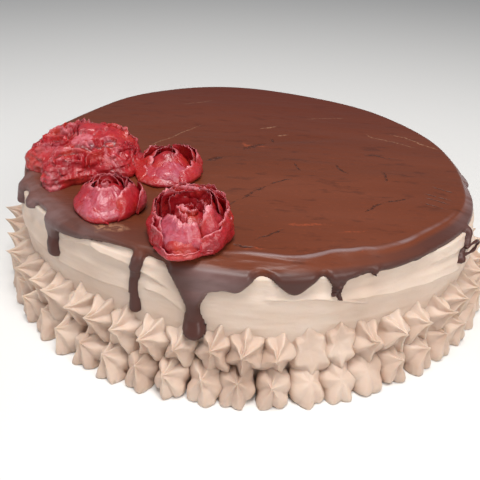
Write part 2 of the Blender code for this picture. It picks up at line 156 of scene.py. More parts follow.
def cakeSkin(angle, down, out):
    # point on the cake's rounded profile: profilePoint averaged over a short stretch and moved out along
    # its normal
    soft = cakePlan["cornerSoftness"]
    radius = height = 0.0
    for step, weight in ((-1.5, 1), (-0.9, 2), (-0.4, 3), (0.0, 3), (0.4, 3), (0.9, 2), (1.5, 1)):
        r, z = profilePoint(angle, down + step * soft)
        radius, height = radius + r * weight / 15.0, height + z * weight / 15.0
    r0, z0 = profilePoint(angle, down - 1.2 * soft)
    r1, z1 = profilePoint(angle, down + 1.2 * soft)
    alongR, alongZ = r1 - r0, z1 - z0
    length = np.maximum(np.hypot(alongR, alongZ), 1e-9)
    radius = np.maximum(radius - out * alongZ / length, 0.0)
    height = height + out * alongR / length
    return shapedPoints(radius * np.sin(angle), -radius * np.cos(angle), height)


def shoulderLength(angle):
    # length of the sloping shoulder from the rim to the corner
    rim = rimRadiusAt(angle)
    return np.hypot(cakePlan["cornerRadius"] - rim, cakePlan["bodyHeight"] - cakePlan["cornerHeight"])


def downAt(angle, height):
    # distance down the profile of a height on the wall
    return shoulderLength(angle) + cakePlan["cornerHeight"] - height


def wallPoint(angle, height, out):
    # point on the wall at an angle and height, a distance outside its plain turned surface
    radius = np.interp(height, cakePlan["wallHeights"], cakePlan["wallRadii"]) + out
    return shapedPoints(radius * np.sin(angle), -radius * np.cos(angle), height)


def addObject(name, data):
    # an object with its mesh, lamp or camera, put in the scene
    made = bpy.data.objects.new(name, data)
    bpy.context.scene.collection.objects.link(made)
    return made


def addPiece(name, points, faces, material, node, attributes=None):
    # a mesh object at the origin from point and face arrays, with its point attributes, given to the frame
    mesh = bpy.data.meshes.new(name)
    mesh.from_pydata(points.tolist(), [], faces.tolist() if isinstance(faces, np.ndarray) else faces)
    mesh.materials.append(material)
    mesh.shade_smooth()
    for key, values in (attributes or {}).items():
        mesh.attributes.new(key, "FLOAT", "POINT").data.foreach_set("value", np.asarray(values, np.float32))
    piece = addObject(name, mesh)
    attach(piece, "root")
    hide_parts(node)
    print(name, len(points), "points")


def gridFaces(rows, columns):
    # quads between neighbouring rows of a grid, closed round its columns
    row, column = np.meshgrid(np.arange(rows - 1), np.arange(columns), indexing="ij")
    following = (column + 1) % columns
    quads = np.stack((row * columns + column, row * columns + following,
                      (row + 1) * columns + following, (row + 1) * columns + column), axis=-1)
    return quads.reshape(-1, 4)


def fanFaces(ring, columns, pole, upward=True):
    # triangles from one pole point to the ring of points that starts at a number
    here = ring + np.arange(columns)
    following = ring + (np.arange(columns) + 1) % columns
    first, second = (here, following) if upward else (following, here)
    return np.stack((here * 0 + pole, first, second), -1)


# Materials

def addNode(tree, kind, values=None, **settings):
    # a node with its settings and the plain values of its named or numbered sockets
    node = tree.nodes.new(kind)
    for name, value in settings.items():
        setattr(node, name, value)
    for key, value in (values or {}).items():
        node.inputs[key].default_value = value
    return node


def addRamp(tree, factor, stops):
    # colour ramp through (position, colour) stops
    ramp = addNode(tree, "ShaderNodeValToRGB")
    elements = ramp.color_ramp.elements
    while len(elements) < len(stops):
        elements.new(0.5)
    for element, (position, colour) in zip(elements, stops):
        element.position = position
        element.color = (*colour, 1.0)
    tree.links.new(factor, ramp.inputs["Fac"])
    return ramp.outputs["Color"]


def makeGroup(name, inputs, outputs):
    # an empty shader node group with named float inputs and outputs
    tree = bpy.data.node_groups.new(name, "ShaderNodeTree")
    for socket, value in inputs.items():
        made = tree.interface.new_socket(name=socket, in_out="INPUT", socket_type="NodeSocketFloat")
        made.default_value = value
    for socket in outputs:
        tree.interface.new_socket(name=socket, in_out="OUTPUT", socket_type="NodeSocketFloat")
    return tree, tree.nodes.new("NodeGroupInput"), tree.nodes.new("NodeGroupOutput")


def makeMottleGroup():
    # Broad and Fine: cloudy patches and a close grain, both 0..1, from stretched object coordinates
    tree, given, result = makeGroup("mottle", {"Broad Scale": 40.0, "Fine Scale": 400.0, "Stretch X": 1.0,
                                               "Stretch Y": 1.0, "Stretch Z": 1.0}, ("Broad", "Fine"))
    place = addNode(tree, "ShaderNodeTexCoord")
    squeeze = addNode(tree, "ShaderNodeCombineXYZ")
    for axis in "XYZ":
        tree.links.new(given.outputs["Stretch " + axis], squeeze.inputs[axis])
    scaled = addNode(tree, "ShaderNodeVectorMath", operation="MULTIPLY")
    tree.links.new(place.outputs["Object"], scaled.inputs[0])
    tree.links.new(squeeze.outputs["Vector"], scaled.inputs[1])
    for name, detail in (("Broad", 3.0), ("Fine", 5.0)):
        noise = addNode(tree, "ShaderNodeTexNoise", {"Detail": detail, "Roughness": 0.55})
        tree.links.new(scaled.outputs["Vector"], noise.inputs["Vector"])
        tree.links.new(given.outputs[name + " Scale"], noise.inputs["Scale"])
        tree.links.new(noise.outputs["Fac"], result.inputs[name])
    return tree


def addMottle(tree, look, stretch=(1.0, 1.0, 1.0)):
    # the mottle group with a look's scales and a stretch along each axis
    mottle = addNode(tree, "ShaderNodeGroup", node_tree=mottleGroup)
    for key in ("Broad Scale", "Fine Scale"):
        mottle.inputs[key].default_value = look[key]
    for axis, value in zip("XYZ", stretch):
        mottle.inputs["Stretch " + axis].default_value = value
    return mottle.outputs


def addMix(tree, factor, first, second):
    # colour mix; a colour given as three numbers is a plain value
    mix = addNode(tree, "ShaderNodeMix", data_type="RGBA")
    if isinstance(factor, float):
        mix.inputs["Factor"].default_value = factor
    else:
        tree.links.new(factor, mix.inputs["Factor"])
    for socket, value in ((mix.inputs[6], first), (mix.inputs[7], second)):
        if isinstance(value, tuple):
            socket.default_value = (*value, 1.0)
        else:
            tree.links.new(value, socket)
    return mix.outputs[2]


def addMath(tree, operation, first, second):
    # math node of two values, each a socket or a plain number
    node = addNode(tree, "ShaderNodeMath", operation=operation)
    for socket, value in zip(node.inputs, (first, second)):
        if isinstance(value, float):
            socket.default_value = value
        else:
            tree.links.new(value, socket)
    return node.outputs["Value"]


def addRange(tree, value, low, high, toLow=0.0, toHigh=1.0):
    # carries a value from low..high to toLow..toHigh and keeps it inside
    node = addNode(tree, "ShaderNodeMapRange",
                   {"From Min": low, "From Max": high, "To Min": toLow, "To Max": toHigh})
    tree.links.new(value, node.inputs["Value"])
    return node.outputs["Result"]


def addPlace(tree):
    # the point's own coordinates, whole and along each axis
    place = addNode(tree, "ShaderNodeTexCoord").outputs["Object"]
    split = addNode(tree, "ShaderNodeSeparateXYZ")
    tree.links.new(place, split.inputs["Vector"])
    return place, split.outputs


def addAttribute(tree, name):
    # a point attribute of the piece, as written by addPiece
    return addNode(tree, "ShaderNodeAttribute", attribute_name=name).outputs["Fac"]


mottleGroup = makeMottleGroup()


def startMaterial(name, shaderValues):
    # a material with its Principled shader's plain values set
    material = bpy.data.materials.new(name)
    material.use_nodes = True
    shader = material.node_tree.nodes["Principled BSDF"]
    for key, value in shaderValues.items():
        shader.inputs[key].default_value = value
    return material, material.node_tree, shader


def addBump(tree, shader, height, strength, distance):
    # bumps the shader's normal by a height value
    bump = addNode(tree, "ShaderNodeBump", {"Strength": strength, "Distance": distance})
    tree.links.new(height, bump.inputs["Height"])
    tree.links.new(bump.outputs["Normal"], shader.inputs["Normal"])


buttercreamLook = {
    "deep": (0.6, 0.44, 0.34), "middle": (0.7, 0.545, 0.44), "pale": (0.78, 0.645, 0.545),
    "Broad Scale": 26.0, "Fine Scale": 520.0, "bumpDepth": 0.00022, "roughness": (0.42, 0.6),
}

# the stars' cream: the coat's buttercream made darker throughout, as painted shade among the crowded piped
# stars
shadedStarLook = {
    "deep": (0.52, 0.37, 0.285), "middle": (0.625, 0.47, 0.375), "pale": (0.7, 0.56, 0.46),
    "Broad Scale": 40.0, "Fine Scale": 520.0, "bumpDepth": 0.00022, "roughness": (0.42, 0.6),
}


def makeButtercream(name, look):
    # tan cream, clouded paler and deeper, with a close grain
    material, tree, shader = startMaterial(name, {
        "Roughness": 0.5, "Specular IOR Level": 0.38, "Subsurface Weight": 0.22,
        "Subsurface Radius": (0.006, 0.0035, 0.002), "Subsurface Scale": 1.0,
    })
    mottle = addMottle(tree, look, (1.0, 1.0, 2.2))
    colour = addRamp(tree, mottle["Broad"],
                     ((0.22, look["deep"]), (0.5, look["middle"]), (0.8, look["pale"])))
    tree.links.new(colour, shader.inputs["Base Color"])
    tree.links.new(addRange(tree, mottle["Fine"], 0.0, 1.0, *look["roughness"]), shader.inputs["Roughness"])
    addBump(tree, shader, mottle["Fine"], 0.5, look["bumpDepth"])
    return material


def makeStrokeGroup():
    # Mask: one thin stroke on a level surface, from a start point along a turn in degrees; its line wanders,
    # it thins towards both ends and breaks up where a close noise is low
    tree, given, result = makeGroup("stroke", {"Start X": 0.0, "Start Y": 0.0, "Turn": 0.0, "Length": 0.02,
                                               "Width": 0.001, "Wander": 0.004}, ("Mask",))
    place, axes = addPlace(tree)
    dx, dy = (addMath(tree, "SUBTRACT", axes[axis], given.outputs["Start " + axis]) for axis in "XY")
    turn = addMath(tree, "RADIANS", given.outputs["Turn"], 0.0)
    cosine, sine = addMath(tree, "COSINE", turn, 0.0), addMath(tree, "SINE", turn, 0.0)
    along = addMath(tree, "ADD", addMath(tree, "MULTIPLY", dx, cosine), addMath(tree, "MULTIPLY", dy, sine))
    across = addMath(tree, "SUBTRACT", addMath(tree, "MULTIPLY", dy, cosine),
                     addMath(tree, "MULTIPLY", dx, sine))
    noises = []
    for scale in (70.0, 620.0):
        noise = addNode(tree, "ShaderNodeTexNoise", {"Scale": scale, "Detail": 3.0})
        tree.links.new(place, noise.inputs["Vector"])
        noises.append(noise.outputs["Fac"])
    bend = addMath(tree, "MULTIPLY", addMath(tree, "SUBTRACT", noises[0], 0.5), given.outputs["Wander"])
    offset = addMath(tree, "ABSOLUTE", addMath(tree, "ADD", across, bend), 0.0)
    share = addMath(tree, "DIVIDE", along, given.outputs["Length"])
    ends = addMath(tree, "MULTIPLY", addRange(tree, share, 0.0, 0.22), addRange(tree, share, 1.0, 0.75))
    width = addMath(tree, "MULTIPLY", given.outputs["Width"], addMath(tree, "ADD", ends, 0.05))
    line = addRange(tree, addMath(tree, "DIVIDE", offset, width), 1.0, 0.25)
    broken = addRange(tree, noises[1], 0.4, 0.56, 0.15, 1.0)
    inside = addMath(tree, "MULTIPLY", addMath(tree, "MULTIPLY", line, ends), broken)
    tree.links.new(inside, result.inputs["Mask"])
    return tree


strokeGroup = makeStrokeGroup()

glazeLook = {
    "dark": (0.122, 0.029, 0.0115), "middle": (0.147, 0.035, 0.014), "warm": (0.17, 0.045, 0.021),
    "paintedShadeGrey": (0.072, 0.03, 0.025), "sheen": (0.225, 0.138, 0.132), "crease": (0.05, 0.014, 0.008),
    # the back colour is painted shade: the top turns darker towards its back
    "back": (0.096, 0.012, 0.003), "bright": (0.34, 0.165, 0.095), "rust": (0.29, 0.06, 0.022),
    "Broad Scale": 22.0, "Fine Scale": 75.0, "bumpDepth": 0.00095, "roughness": (0.3, 0.46),
    "backShadeRange": (-0.02, 0.12), "backShadeShare": 0.85,    # the colour turns to "back" over this stretch of y
}

# strokes on the top: start x and y, turn in degrees, length, width, wander
# dark strokes, which the bump also cuts in as grooves; their darker colour is painted shade in the grooves
darkStrokes = (
    (-0.023, -0.084, 50.0, 0.03, 0.0007, 0.006), (-0.0045, -0.0632, 53.0, 0.024, 0.001, 0.006),
    (0.0098, -0.0444, 38.0, 0.017, 0.0008, 0.006), (0.0554, -0.0677, 44.0, 0.0185, 0.0008, 0.005),
    (0.0672, -0.0562, 26.0, 0.017, 0.0009, 0.006), (-0.006, -0.0005, 42.0, 0.02, 0.0026, 0.01),
    (0.046, -0.013, -56.0, 0.015, 0.0013, 0.014), (0.0251, -0.014, -81.0, 0.012, 0.0009, 0.01),
    (0.072, -0.018, -78.0, 0.015, 0.001, 0.014), (0.0023, -0.1003, 36.0, 0.019, 0.001, 0.01),
    (-0.025, -0.02, 39.0, 0.013, 0.0022, 0.008), (-0.007, -0.105, -20.0, 0.011, 0.0014, 0.014),
    (0.086, -0.053, -30.0, 0.015, 0.0005, 0.003), (0.0905, -0.042, -30.0, 0.016, 0.0005, 0.003),
    (0.096, -0.0335, -31.0, 0.015, 0.0005, 0.003), (0.09, -0.047, -30.0, 0.015, 0.0005, 0.003),
    (0.0645, 0.0039, -11.0, 0.022, 0.0006, 0.008), (0.012, 0.02, -70.0, 0.006, 0.001, 0.006),
)
# pale strokes, which the bump also raises as ridges: partly pale smears in the chocolate, partly painted
# highlight on the ridges
brightStrokes = (
    (-0.063, -0.0086, 55.0, 0.058, 0.0006, 0.005), (0.0042, 0.0345, 30.0, 0.015, 0.0011, 0.006),
    (-0.07, -0.0955, -10.0, 0.019, 0.0046, 0.006), (0.0322, 0.0589, 16.0, 0.0361, 0.0004, 0.004),
    (-0.0497, 0.0707, 33.0, 0.0273, 0.0004, 0.004), (0.07, 0.04, -34.0, 0.04, 0.0007, 0.012),
    (0.086, 0.044, -42.0, 0.042, 0.0009, 0.014), (0.015, 0.025, 20.0, 0.009, 0.0007, 0.006),
)
rustStrokes = (
    (0.016, -0.0855, 8.0, 0.022, 0.0012, 0.006), (-0.007, 0.008, -10.0, 0.018, 0.0014, 0.01),
    (-0.0052, 0.012, -74.0, 0.01, 0.0016, 0.006), (-0.003, -0.109, 10.0, 0.012, 0.001, 0.01),
    (0.04, -0.09, 20.0, 0.016, 0.0008, 0.008),
)


def addStrokes(tree, strokes):
    # the strongest of several strokes
    mask = None
    for stroke in strokes:
        node = addNode(tree, "ShaderNodeGroup", node_tree=strokeGroup)
        for key, value in zip(("Start X", "Start Y", "Turn", "Length", "Width", "Wander"), stroke):
            node.inputs[key].default_value = value
        mask = node.outputs["Mask"] if mask is None else addMath(tree, "MAXIMUM", mask, node.outputs["Mask"])
    return mask


def makeGlaze():
    # painted grey shade and reflection where the pour hangs, a painted sheen where it turns over the rim and
    # on the flanks, painted shade towards the back, and strokes on the top
    look = glazeLook
    material, tree, shader = startMaterial("glazeFinish", {
        "Specular IOR Level": 0.25, "Coat Weight": 0.05, "Coat Roughness": 0.18,
    })
    mottle = addMottle(tree, look, (0.35, 1.5, 1.0))
    colour = addRamp(tree, mottle["Broad"],
                     ((0.25, look["dark"]), (0.5, look["middle"]), (0.78, look["warm"])))
    onTop = addMath(tree, "SUBTRACT", 1.0, addAttribute(tree, "hang"))
    dark, bright, rust = (addStrokes(tree, strokes) for strokes in (darkStrokes, brightStrokes, rustStrokes))
    grain = addMottle(tree, {"Broad Scale": 150.0, "Fine Scale": 900.0}, (0.5, 1.4, 1.0))
    colour = addMix(tree, addRange(tree, grain["Broad"], 0.42, 0.3, 0.0, 0.45), colour, look["crease"])
    colour = addMix(tree, addRange(tree, grain["Fine"], 0.6, 0.72, 0.0, 0.35), colour, look["rust"])
    # painted shade: darker towards the back of the top
    shadeTowardsBack = addRange(tree, addPlace(tree)[1]["Y"], *look["backShadeRange"], 0.0, look["backShadeShare"])
    colour = addMix(tree, shadeTowardsBack, colour, look["back"])
    # painted shade and grey reflection where the pour hangs and on the flanks
    colour = addMix(tree, addAttribute(tree, "paintedShadeGrey"), colour, look["paintedShadeGrey"])
    # painted sheen, broken into streaks
    streaks = addRange(tree, mottle["Fine"], 0.4, 0.58, 0.3, 1.0)
    streaked = addMath(tree, "MULTIPLY", addAttribute(tree, "sheen"), streaks)
    colour = addMix(tree, streaked, colour, look["sheen"])
    # the dark strokes take the crease colour as painted shade in their grooves; the bright ones are partly
    # painted highlight on their ridges
    for mask, key, strength in ((rust, "rust", 0.85), (dark, "crease", 0.9), (bright, "bright", 0.85)):
        shown = addMath(tree, "MULTIPLY", mask, addMath(tree, "MULTIPLY", onTop, strength))
        colour = addMix(tree, shown, colour, look[key])
    tree.links.new(colour, shader.inputs["Base Color"])
    tree.links.new(addRange(tree, mottle["Broad"], 0.0, 1.0, *look["roughness"]), shader.inputs["Roughness"])
    height = addMath(tree, "MULTIPLY", mottle["Fine"], addRange(tree, onTop, 0.0, 1.0, 0.12, 1.0))
    shares = (("ADD", grain["Broad"], 0.25), ("SUBTRACT", dark, 0.9), ("ADD", bright, 0.5))
    for operation, value, share in shares:
        height = addMath(tree, operation, height, addMath(tree, "MULTIPLY", value, share))
    addBump(tree, shader, height, 0.6, look["bumpDepth"])
    return material


pasteLook = {
    "dark": (0.265, 0.006, 0.012), "middle": (0.4, 0.011, 0.018), "orange": (0.45, 0.032, 0.015),
    "mauve": (0.46, 0.088, 0.13), "pale": (0.68, 0.21, 0.24), "pitShade": (0.04, 0.002, 0.003),
    "Broad Scale": 80.0, "Fine Scale": 460.0, "bumpDepth": 0.0008, "roughness": (0.2, 0.48),
}


def makePaste():
    # red and orange clouds, a painted mauve sheen on the smooth faces, pale rims as painted highlight and
    # dark hollows as painted shade
    look = pasteLook
    material, tree, shader = startMaterial("redPasteFinish", {
        "Specular IOR Level": 0.5, "Coat Weight": 0.24, "Coat Roughness": 0.12, "Subsurface Weight": 0.06,
        "Subsurface Radius": (0.003, 0.0006, 0.0005), "Subsurface Scale": 1.0,
    })
    mottle = addMottle(tree, look)
    colour = addRamp(tree, mottle["Broad"],
                     ((0.3, look["dark"]), (0.48, look["middle"]), (0.72, look["orange"])))
    # painted mauve sheen on the smooth faces, and painted highlight along the rims
    for attribute, low, high, key in (("mauveSheen", 0.3, 0.62, "mauve"), ("rim", 0.36, 0.56, "pale")):
        patchy = addRange(tree, mottle["Fine"], low, high, 0.35, 1.0)
        shown = addMath(tree, "MULTIPLY", addAttribute(tree, attribute), patchy)
        colour = addMix(tree, shown, colour, look[key])
    # painted shade in the pits and valleys
    colour = addMix(tree, addAttribute(tree, "pitShade"), colour, look["pitShade"])
    tree.links.new(colour, shader.inputs["Base Color"])
    tree.links.new(addRange(tree, mottle["Fine"], 0.3, 0.7, *look["roughness"]), shader.inputs["Roughness"])
    addBump(tree, shader, mottle["Fine"], 0.75, look["bumpDepth"])
    return material


buttercream = makeButtercream("buttercreamFinish", buttercreamLook)
shadedStarCream = makeButtercream("shadedStarCreamFinish", shadedStarLook)
glazeFinish = makeGlaze()
pasteFinish = makePaste()
print("materials made")


# Buttercream coat

coatSettings = {
    "columns": 720, "topRows": 7, "shoulderRows": 5, "denseRows": 76, "lowRows": 16,
    "denseFrom": 0.0585, "denseTo": 0.027, "lowTo": 0.0012,
    "topShares": (0.12, 0.97), "shoulderShares": (0.0, 0.85),    # first and last row, as shares of the way
    "footRound": ((0.0004, 0.0004), (0.0012, 0.0)),    # inset and height of the rows round the foot
    # unevenness of the wall: depth, scale round it and up it, seed
    "noises": ((0.00055, 5.0, 60.0, 11), (0.00016, 9.0, 420.0, 23)),
    "fade": (0.004, 0.02),       # the wall is even below the first height and fully uneven above the second
    "ridgeWander": (0.0006, 0.22),    # how far a ridge's line wanders, and waves a degree
    # spatula ridges: start and end angle, heights at both ends and the middle, step, shelf above
    "ridges": (
        (3.0, 26.5, 0.048, 0.0408, 0.0478, 0.0016, 0.0034),
        (20.0, 64.0, 0.0466, 0.0418, 0.0436, 0.0017, 0.004),
        (-50.0, -22.0, 0.0392, 0.0436, 0.0406, 0.0011, 0.004),
        (-46.0, -14.0, 0.051, 0.048, 0.0566, 0.0013, 0.0034),
        (-35.0, -26.0, 0.058, 0.0545, 0.0563, 0.001, 0.002),
        (-21.0, -11.5, 0.0455, 0.0385, 0.045, 0.001, 0.003),
        (42.0, 66.0, 0.052, 0.05, 0.0528, 0.0008, 0.003),
        (58.0, 108.0, 0.045, 0.048, 0.044, 0.0014, 0.0035),
        (98.0, 165.0, 0.04, 0.0465, 0.0455, 0.0014, 0.004),
        (150.0, 215.0, 0.049, 0.043, 0.0485, 0.0016, 0.0035),
        (205.0, 262.0, 0.041, 0.047, 0.045, 0.0012, 0.0035),
        (250.0, 312.0, 0.05, 0.04, 0.047, 0.0014, 0.0035),
    ),
}


def ridgeRelief(angle, height):
    # each ridge: a bowed line whose upper side is a shallow shelf and whose lower side drops away,
    # fading at both ends
    degrees = np.degrees(angle)
    flat = 0.0 * degrees
    wander, wanderScale = coatSettings["ridgeWander"]
    relief = 0.0
    for first, last, startZ, endZ, middleZ, step, shelf in coatSettings["ridges"]:
        share = angleApart(degrees, (first + last) / 2.0) / (last - first) + 0.5
        inside = smoothStep(share, 0.0, 0.12) * (1.0 - smoothStep(share, 0.9, 1.0))
        t = np.clip(share, 0.0, 1.0)
        line = startZ * (1 - t) ** 2 + (2 * middleZ - (startZ + endZ) / 2) * 2 * t * (1 - t) + endZ * t * t
        line = line + wander * softNoise(degrees * wanderScale, flat, flat, 5)
        above = (height - line) / shelf
        shape = np.where(above > 0.0, np.exp(-above), smoothStep(above, -0.2, 0.0))
        relief = relief + step * inside * shape
    return relief


def coatRelief(angle, height):
    # unevenness of the buttercream: broad swells, streaks drawn out along the wall, and ridges
    x, y = np.sin(angle), np.cos(angle)
    relief = ridgeRelief(angle, height)
    for depth, level, upright, seed in coatSettings["noises"]:
        relief = relief + depth * layeredNoise(x * level, y * level, height * upright, seed, 2)
    return relief * smoothStep(height, *coatSettings["fade"])


def makeCoat():
    # rows over the top, down the shoulder and the wall, round the foot and under it, closed by two fans
    settings = coatSettings
    columns = settings["columns"]
    angle = roundAngles(columns)
    rim = rimRadiusAt(angle)
    rows = []
    for share in np.linspace(*settings["topShares"], settings["topRows"]):
        rows.append(cakeSkin(angle, rim * (share - 1.0), np.zeros(columns)))
    for share in np.linspace(*settings["shoulderShares"], settings["shoulderRows"]):
        rows.append(cakeSkin(angle, shoulderLength(angle) * share, np.zeros(columns)))
    heights = np.concatenate((
        np.linspace(settings["denseFrom"], settings["denseTo"], settings["denseRows"]),
        np.linspace(settings["denseTo"], settings["lowTo"], settings["lowRows"])[1:]))
    wallAngle, wallHeight = np.meshgrid(angle, heights)
    onWall = cakeSkin(wallAngle, downAt(wallAngle, wallHeight), coatRelief(wallAngle, wallHeight))
    base = cakePlan["wallRadii"][0]
    rows.extend(onWall)
    foot = [(base - inset, height) for inset, height in settings["footRound"]]
    for radius, height in foot + [(base / 2.0, 0.0)]:
        rows.append(shapedPoints(radius * np.sin(angle), -radius * np.cos(angle), np.full(columns, height)))
    points = np.concatenate(rows)
    count = len(rows)
    top = len(points)
    points = np.concatenate((points, [[0.0, 0.0, cakePlan["bodyHeight"]], [0.0, 0.0, 0.0]]))
    faces = gridFaces(count, columns).tolist() + fanFaces(0, columns, top).tolist()
    faces += fanFaces((count - 1) * columns, columns, top + 1, False).tolist()
    addPiece("buttercreamCoat", points, faces, buttercream, "cake_body")


makeCoat()


# Poured glaze

glazePour = {
    "columns": 880, "topRows": 23, "shoulderRows": 18, "wallRows": 72,
    # rows over the top as shares of the way to the rim, even ones and closer ones; power that crowds the
    # shoulder's rows towards the rim
    "topShares": (0.02, 0.972), "rimShares": (0.983, 0.991, 0.996), "crowding": 1.35,
    # a raised bead along the front rim: height, place and reach across the rim, hill round the cake
    "rimBead": {"height": 0.0009, "place": -0.0003, "reach": 0.0007, "centre": 16.0, "left": 30.0,
                "right": 42.0},
    "wallFrom": 0.0612, "wallTo": 0.0225,
    # the full thickness is reached within the edge width; grid points nearer to the edge than the pull are
    # drawn to it; drips and lobes closer than the blend run together
    "thickness": 0.0025, "edgeWidth": 0.0023, "underside": -0.0009, "pull": 0.0012, "blend": 0.0024,
    "edge": 0.0598,
    # drips start at the root height and end at the ceiling; their middle line wanders by degrees
    "rootHeight": 0.059, "ceiling": 0.064, "neckShare": 0.62, "bulbShare": 0.6, "wander": (0.35, 5.0),
    # where a drip rides over the border: reach in degrees, heights between which it comes off the wall
    "rideReach": 6.0, "rideHeights": (0.0375, 0.029), "bulbGain": 0.28,
    # painted sheen on the flanks: hill round the cake, where it comes in down from the rim or the corner,
    # where it goes out below the corner, strength
    "sheens": (
        ((-54.0, 42.0, 38.0), "rim", (-0.005, 0.003), (0.004, 0.011), 0.75),
        ((-6.0, 9.0, 11.0), "corner", (-0.003, 0.001), (0.009, 0.016), 0.85),
        ((76.0, 30.0, 60.0), "rim", (0.0003, 0.0016), (0.001, 0.006), 1.0),
    ),
    # the painted highlight line on the rim: hill round the cake, hill across the rim in millimetres, strength
    "rimSheen": ((16.0, 22.0, 44.0), (-0.1, 0.7, 0.8), 1.6),
    # painted grey shade on the flanks: hill round the cake, its power, where it comes in down from the rim,
    # strength
    "shadeGreys": (((52.0, 36.0, 40.0), 0.7, (0.0012, 0.004), 0.85),
              ((-34.0, 44.0, 32.0), 1.0, (-0.02, -0.003), 0.6)),
    # painted grey shade and reflection on all that hangs down the wall
    "hangShadeGrey": 0.92,
    "topNoise": (0.00045, 14.0),
    # shallow knife strokes on the top: start x and y, end x and y, width, rise
    "knifeStrokes": (
        (-0.075, 0.022, -0.004, 0.06, 0.003, 0.0005), (-0.02, 0.005, 0.06, 0.03, 0.004, -0.0004),
        (0.01, -0.05, 0.09, -0.02, 0.005, 0.0003), (-0.05, 0.07, 0.05, 0.085, 0.005, 0.0004),
        (-0.01, -0.02, 0.03, -0.01, 0.0022, 0.0004), (0.03, 0.045, 0.095, 0.03, 0.0045, -0.0003),
    ),
    # a lobe lapping over the root of the longest drip: start and end of its edge (angle, height), rise, reach
    "lap": {"start": (-13.6, 0.0606), "end": (-3.6, 0.0478), "rise": 0.0012, "left": 13.0, "right": 12.0},
    # crumbs on one drip: hill round the cake, where they start below the corner, height, scale
    "crumbs": {"centre": 18.3, "reach": 2.8, "below": 0.0035, "height": 0.0022, "scale": 900.0},
    "waves": ((1, 0.0002, -30.0), (7, 0.0002, 100.0), (17, 0.00015, 20.0)),
    # lobes of the edge: angle, reach to the left and right, depth; a negative depth draws the edge up
    "lobes": (
        (-24.0, 14.0, 12.0, -0.0018), (-66.0, 3.6, 4.0, 0.004),
        (-57.2, 3.6, 3.0, 0.0032), (-46.8, 4.0, 17.0, 0.005),
        (-6.0, 10.0, 6.5, 0.009), (-12.6, 4.6, 2.6, 0.009),
        (-1.0, 4.0, 4.0, 0.0066), (9.7, 6.5, 6.5, 0.0087),
        (34.0, 24.0, 20.0, 0.0024), (20.5, 6.0, 5.0, 0.0022),
        (84.0, 4.5, 5.5, 0.005), (118.0, 6.0, 7.0, 0.007),
        (151.0, 5.0, 4.0, 0.0045), (179.0, 8.0, 6.5, 0.0075),
        (214.0, 4.5, 5.5, 0.0055), (247.0, 6.5, 6.0, 0.0065),
        (276.0, 4.0, 4.8, 0.0045),
    ),
    # drips: angle, tip height, half widths at root, neck and bulb, lean in degrees, ride over the border
    "drips": (
        (-65.6, 0.0498, 0.003, 0.0026, 0.0026, -0.4, 0.0),
        (-57.0, 0.0562, 0.0028, 0.0026, 0.0028, 0.0, 0.0),
        (-47.2, 0.0412, 0.005, 0.0034, 0.0035, 0.4, 0.0),
        (-22.5, 0.032, 0.0029, 0.0019, 0.0028, -0.9, 0.0),
        (-10.1, 0.0282, 0.0092, 0.0027, 0.0047, 0.1, 0.0036),
        (17.8, 0.0486, 0.0027, 0.0017, 0.0013, 0.3, 0.0),
        (19.3, 0.047, 0.002, 0.0012, 0.001, 0.0, 0.0),
        (27.4, 0.0556, 0.0013, 0.0008, 0.0008, -0.5, 0.0),
        (56.8, 0.0458, 0.0021, 0.0014, 0.0016, -4.6, 0.0),
        (102.0, 0.0345, 0.004, 0.0022, 0.003, 0.5, 0.0),
        (165.0, 0.031, 0.0055, 0.0029, 0.0038, 0.7, 0.0),
        (198.0, 0.0385, 0.0032, 0.0019, 0.0026, -0.5, 0.0),
        (262.0, 0.0425, 0.003, 0.0018, 0.0024, -0.4, 0.0),
    ),
}


def glazeEdge(angle):
    # height of the pour's lower edge: mean, slow waves and lobes
    degrees = np.degrees(angle)
    height = glazePour["edge"] + 0.0 * angle
    for waves, size, phase in glazePour["waves"]:
        height = height + size * np.cos(waves * (angle - math.radians(phase)))
    for centre, left, right, depth in glazePour["lobes"]:
        height = height - depth * hill(degrees, centre, left, right)
    return height


def softMax(a, b, reach):
    # the larger of two fields, rounded where they are closer than the reach
    closeness = np.maximum(reach - np.abs(a - b), 0.0) / reach
    return np.maximum(a, b) + closeness ** 2 * reach * 0.25


def dripField(angle, height, drip):
    # distance inside a drip: half width less the distance from its leaning middle line, with a round end
    centre, tip, root, neck, bulb, lean, ride = drip
    radius = cakePlan["cornerRadius"]
    rootZ = glazePour["rootHeight"]
    sway, swing = glazePour["wander"]
    fall = rootZ - tip
    bulbZ = tip + bulb
    share = np.clip((rootZ - height) / fall, 0.0, 1.0)
    middle = centre + lean * share + sway * np.sin(share * swing + centre)
    across = np.abs(angleApart(np.degrees(angle), middle)) * math.radians(1.0) * radius
    toNeck = smoothStep(share, 0.0, glazePour["neckShare"])
    toBulb = smoothStep((rootZ - height) / max(rootZ - bulbZ, 0.0002), glazePour["bulbShare"], 1.0)
    half = root + (neck - root) * toNeck + (bulb - neck) * toBulb
    shaft = half - across
    end = bulb - np.hypot(across, height - bulbZ)
    inside = np.where(height > bulbZ, shaft, end)
    return np.minimum(inside, (glazePour["ceiling"] - height) * 3.0)


def glazeField(angle, height):
    # signed distance, positive inside the pour: the edge's own field joined with every drip's
    step = math.radians(0.05)
    edge = glazeEdge(angle)
    slope = (glazeEdge(angle + step) - edge) / (step * cakePlan["cornerRadius"])
    field = (height - edge) / np.sqrt(1.0 + slope ** 2)
    for drip in glazePour["drips"]:
        field = softMax(field, dripField(angle, height, drip), glazePour["blend"])
    return field


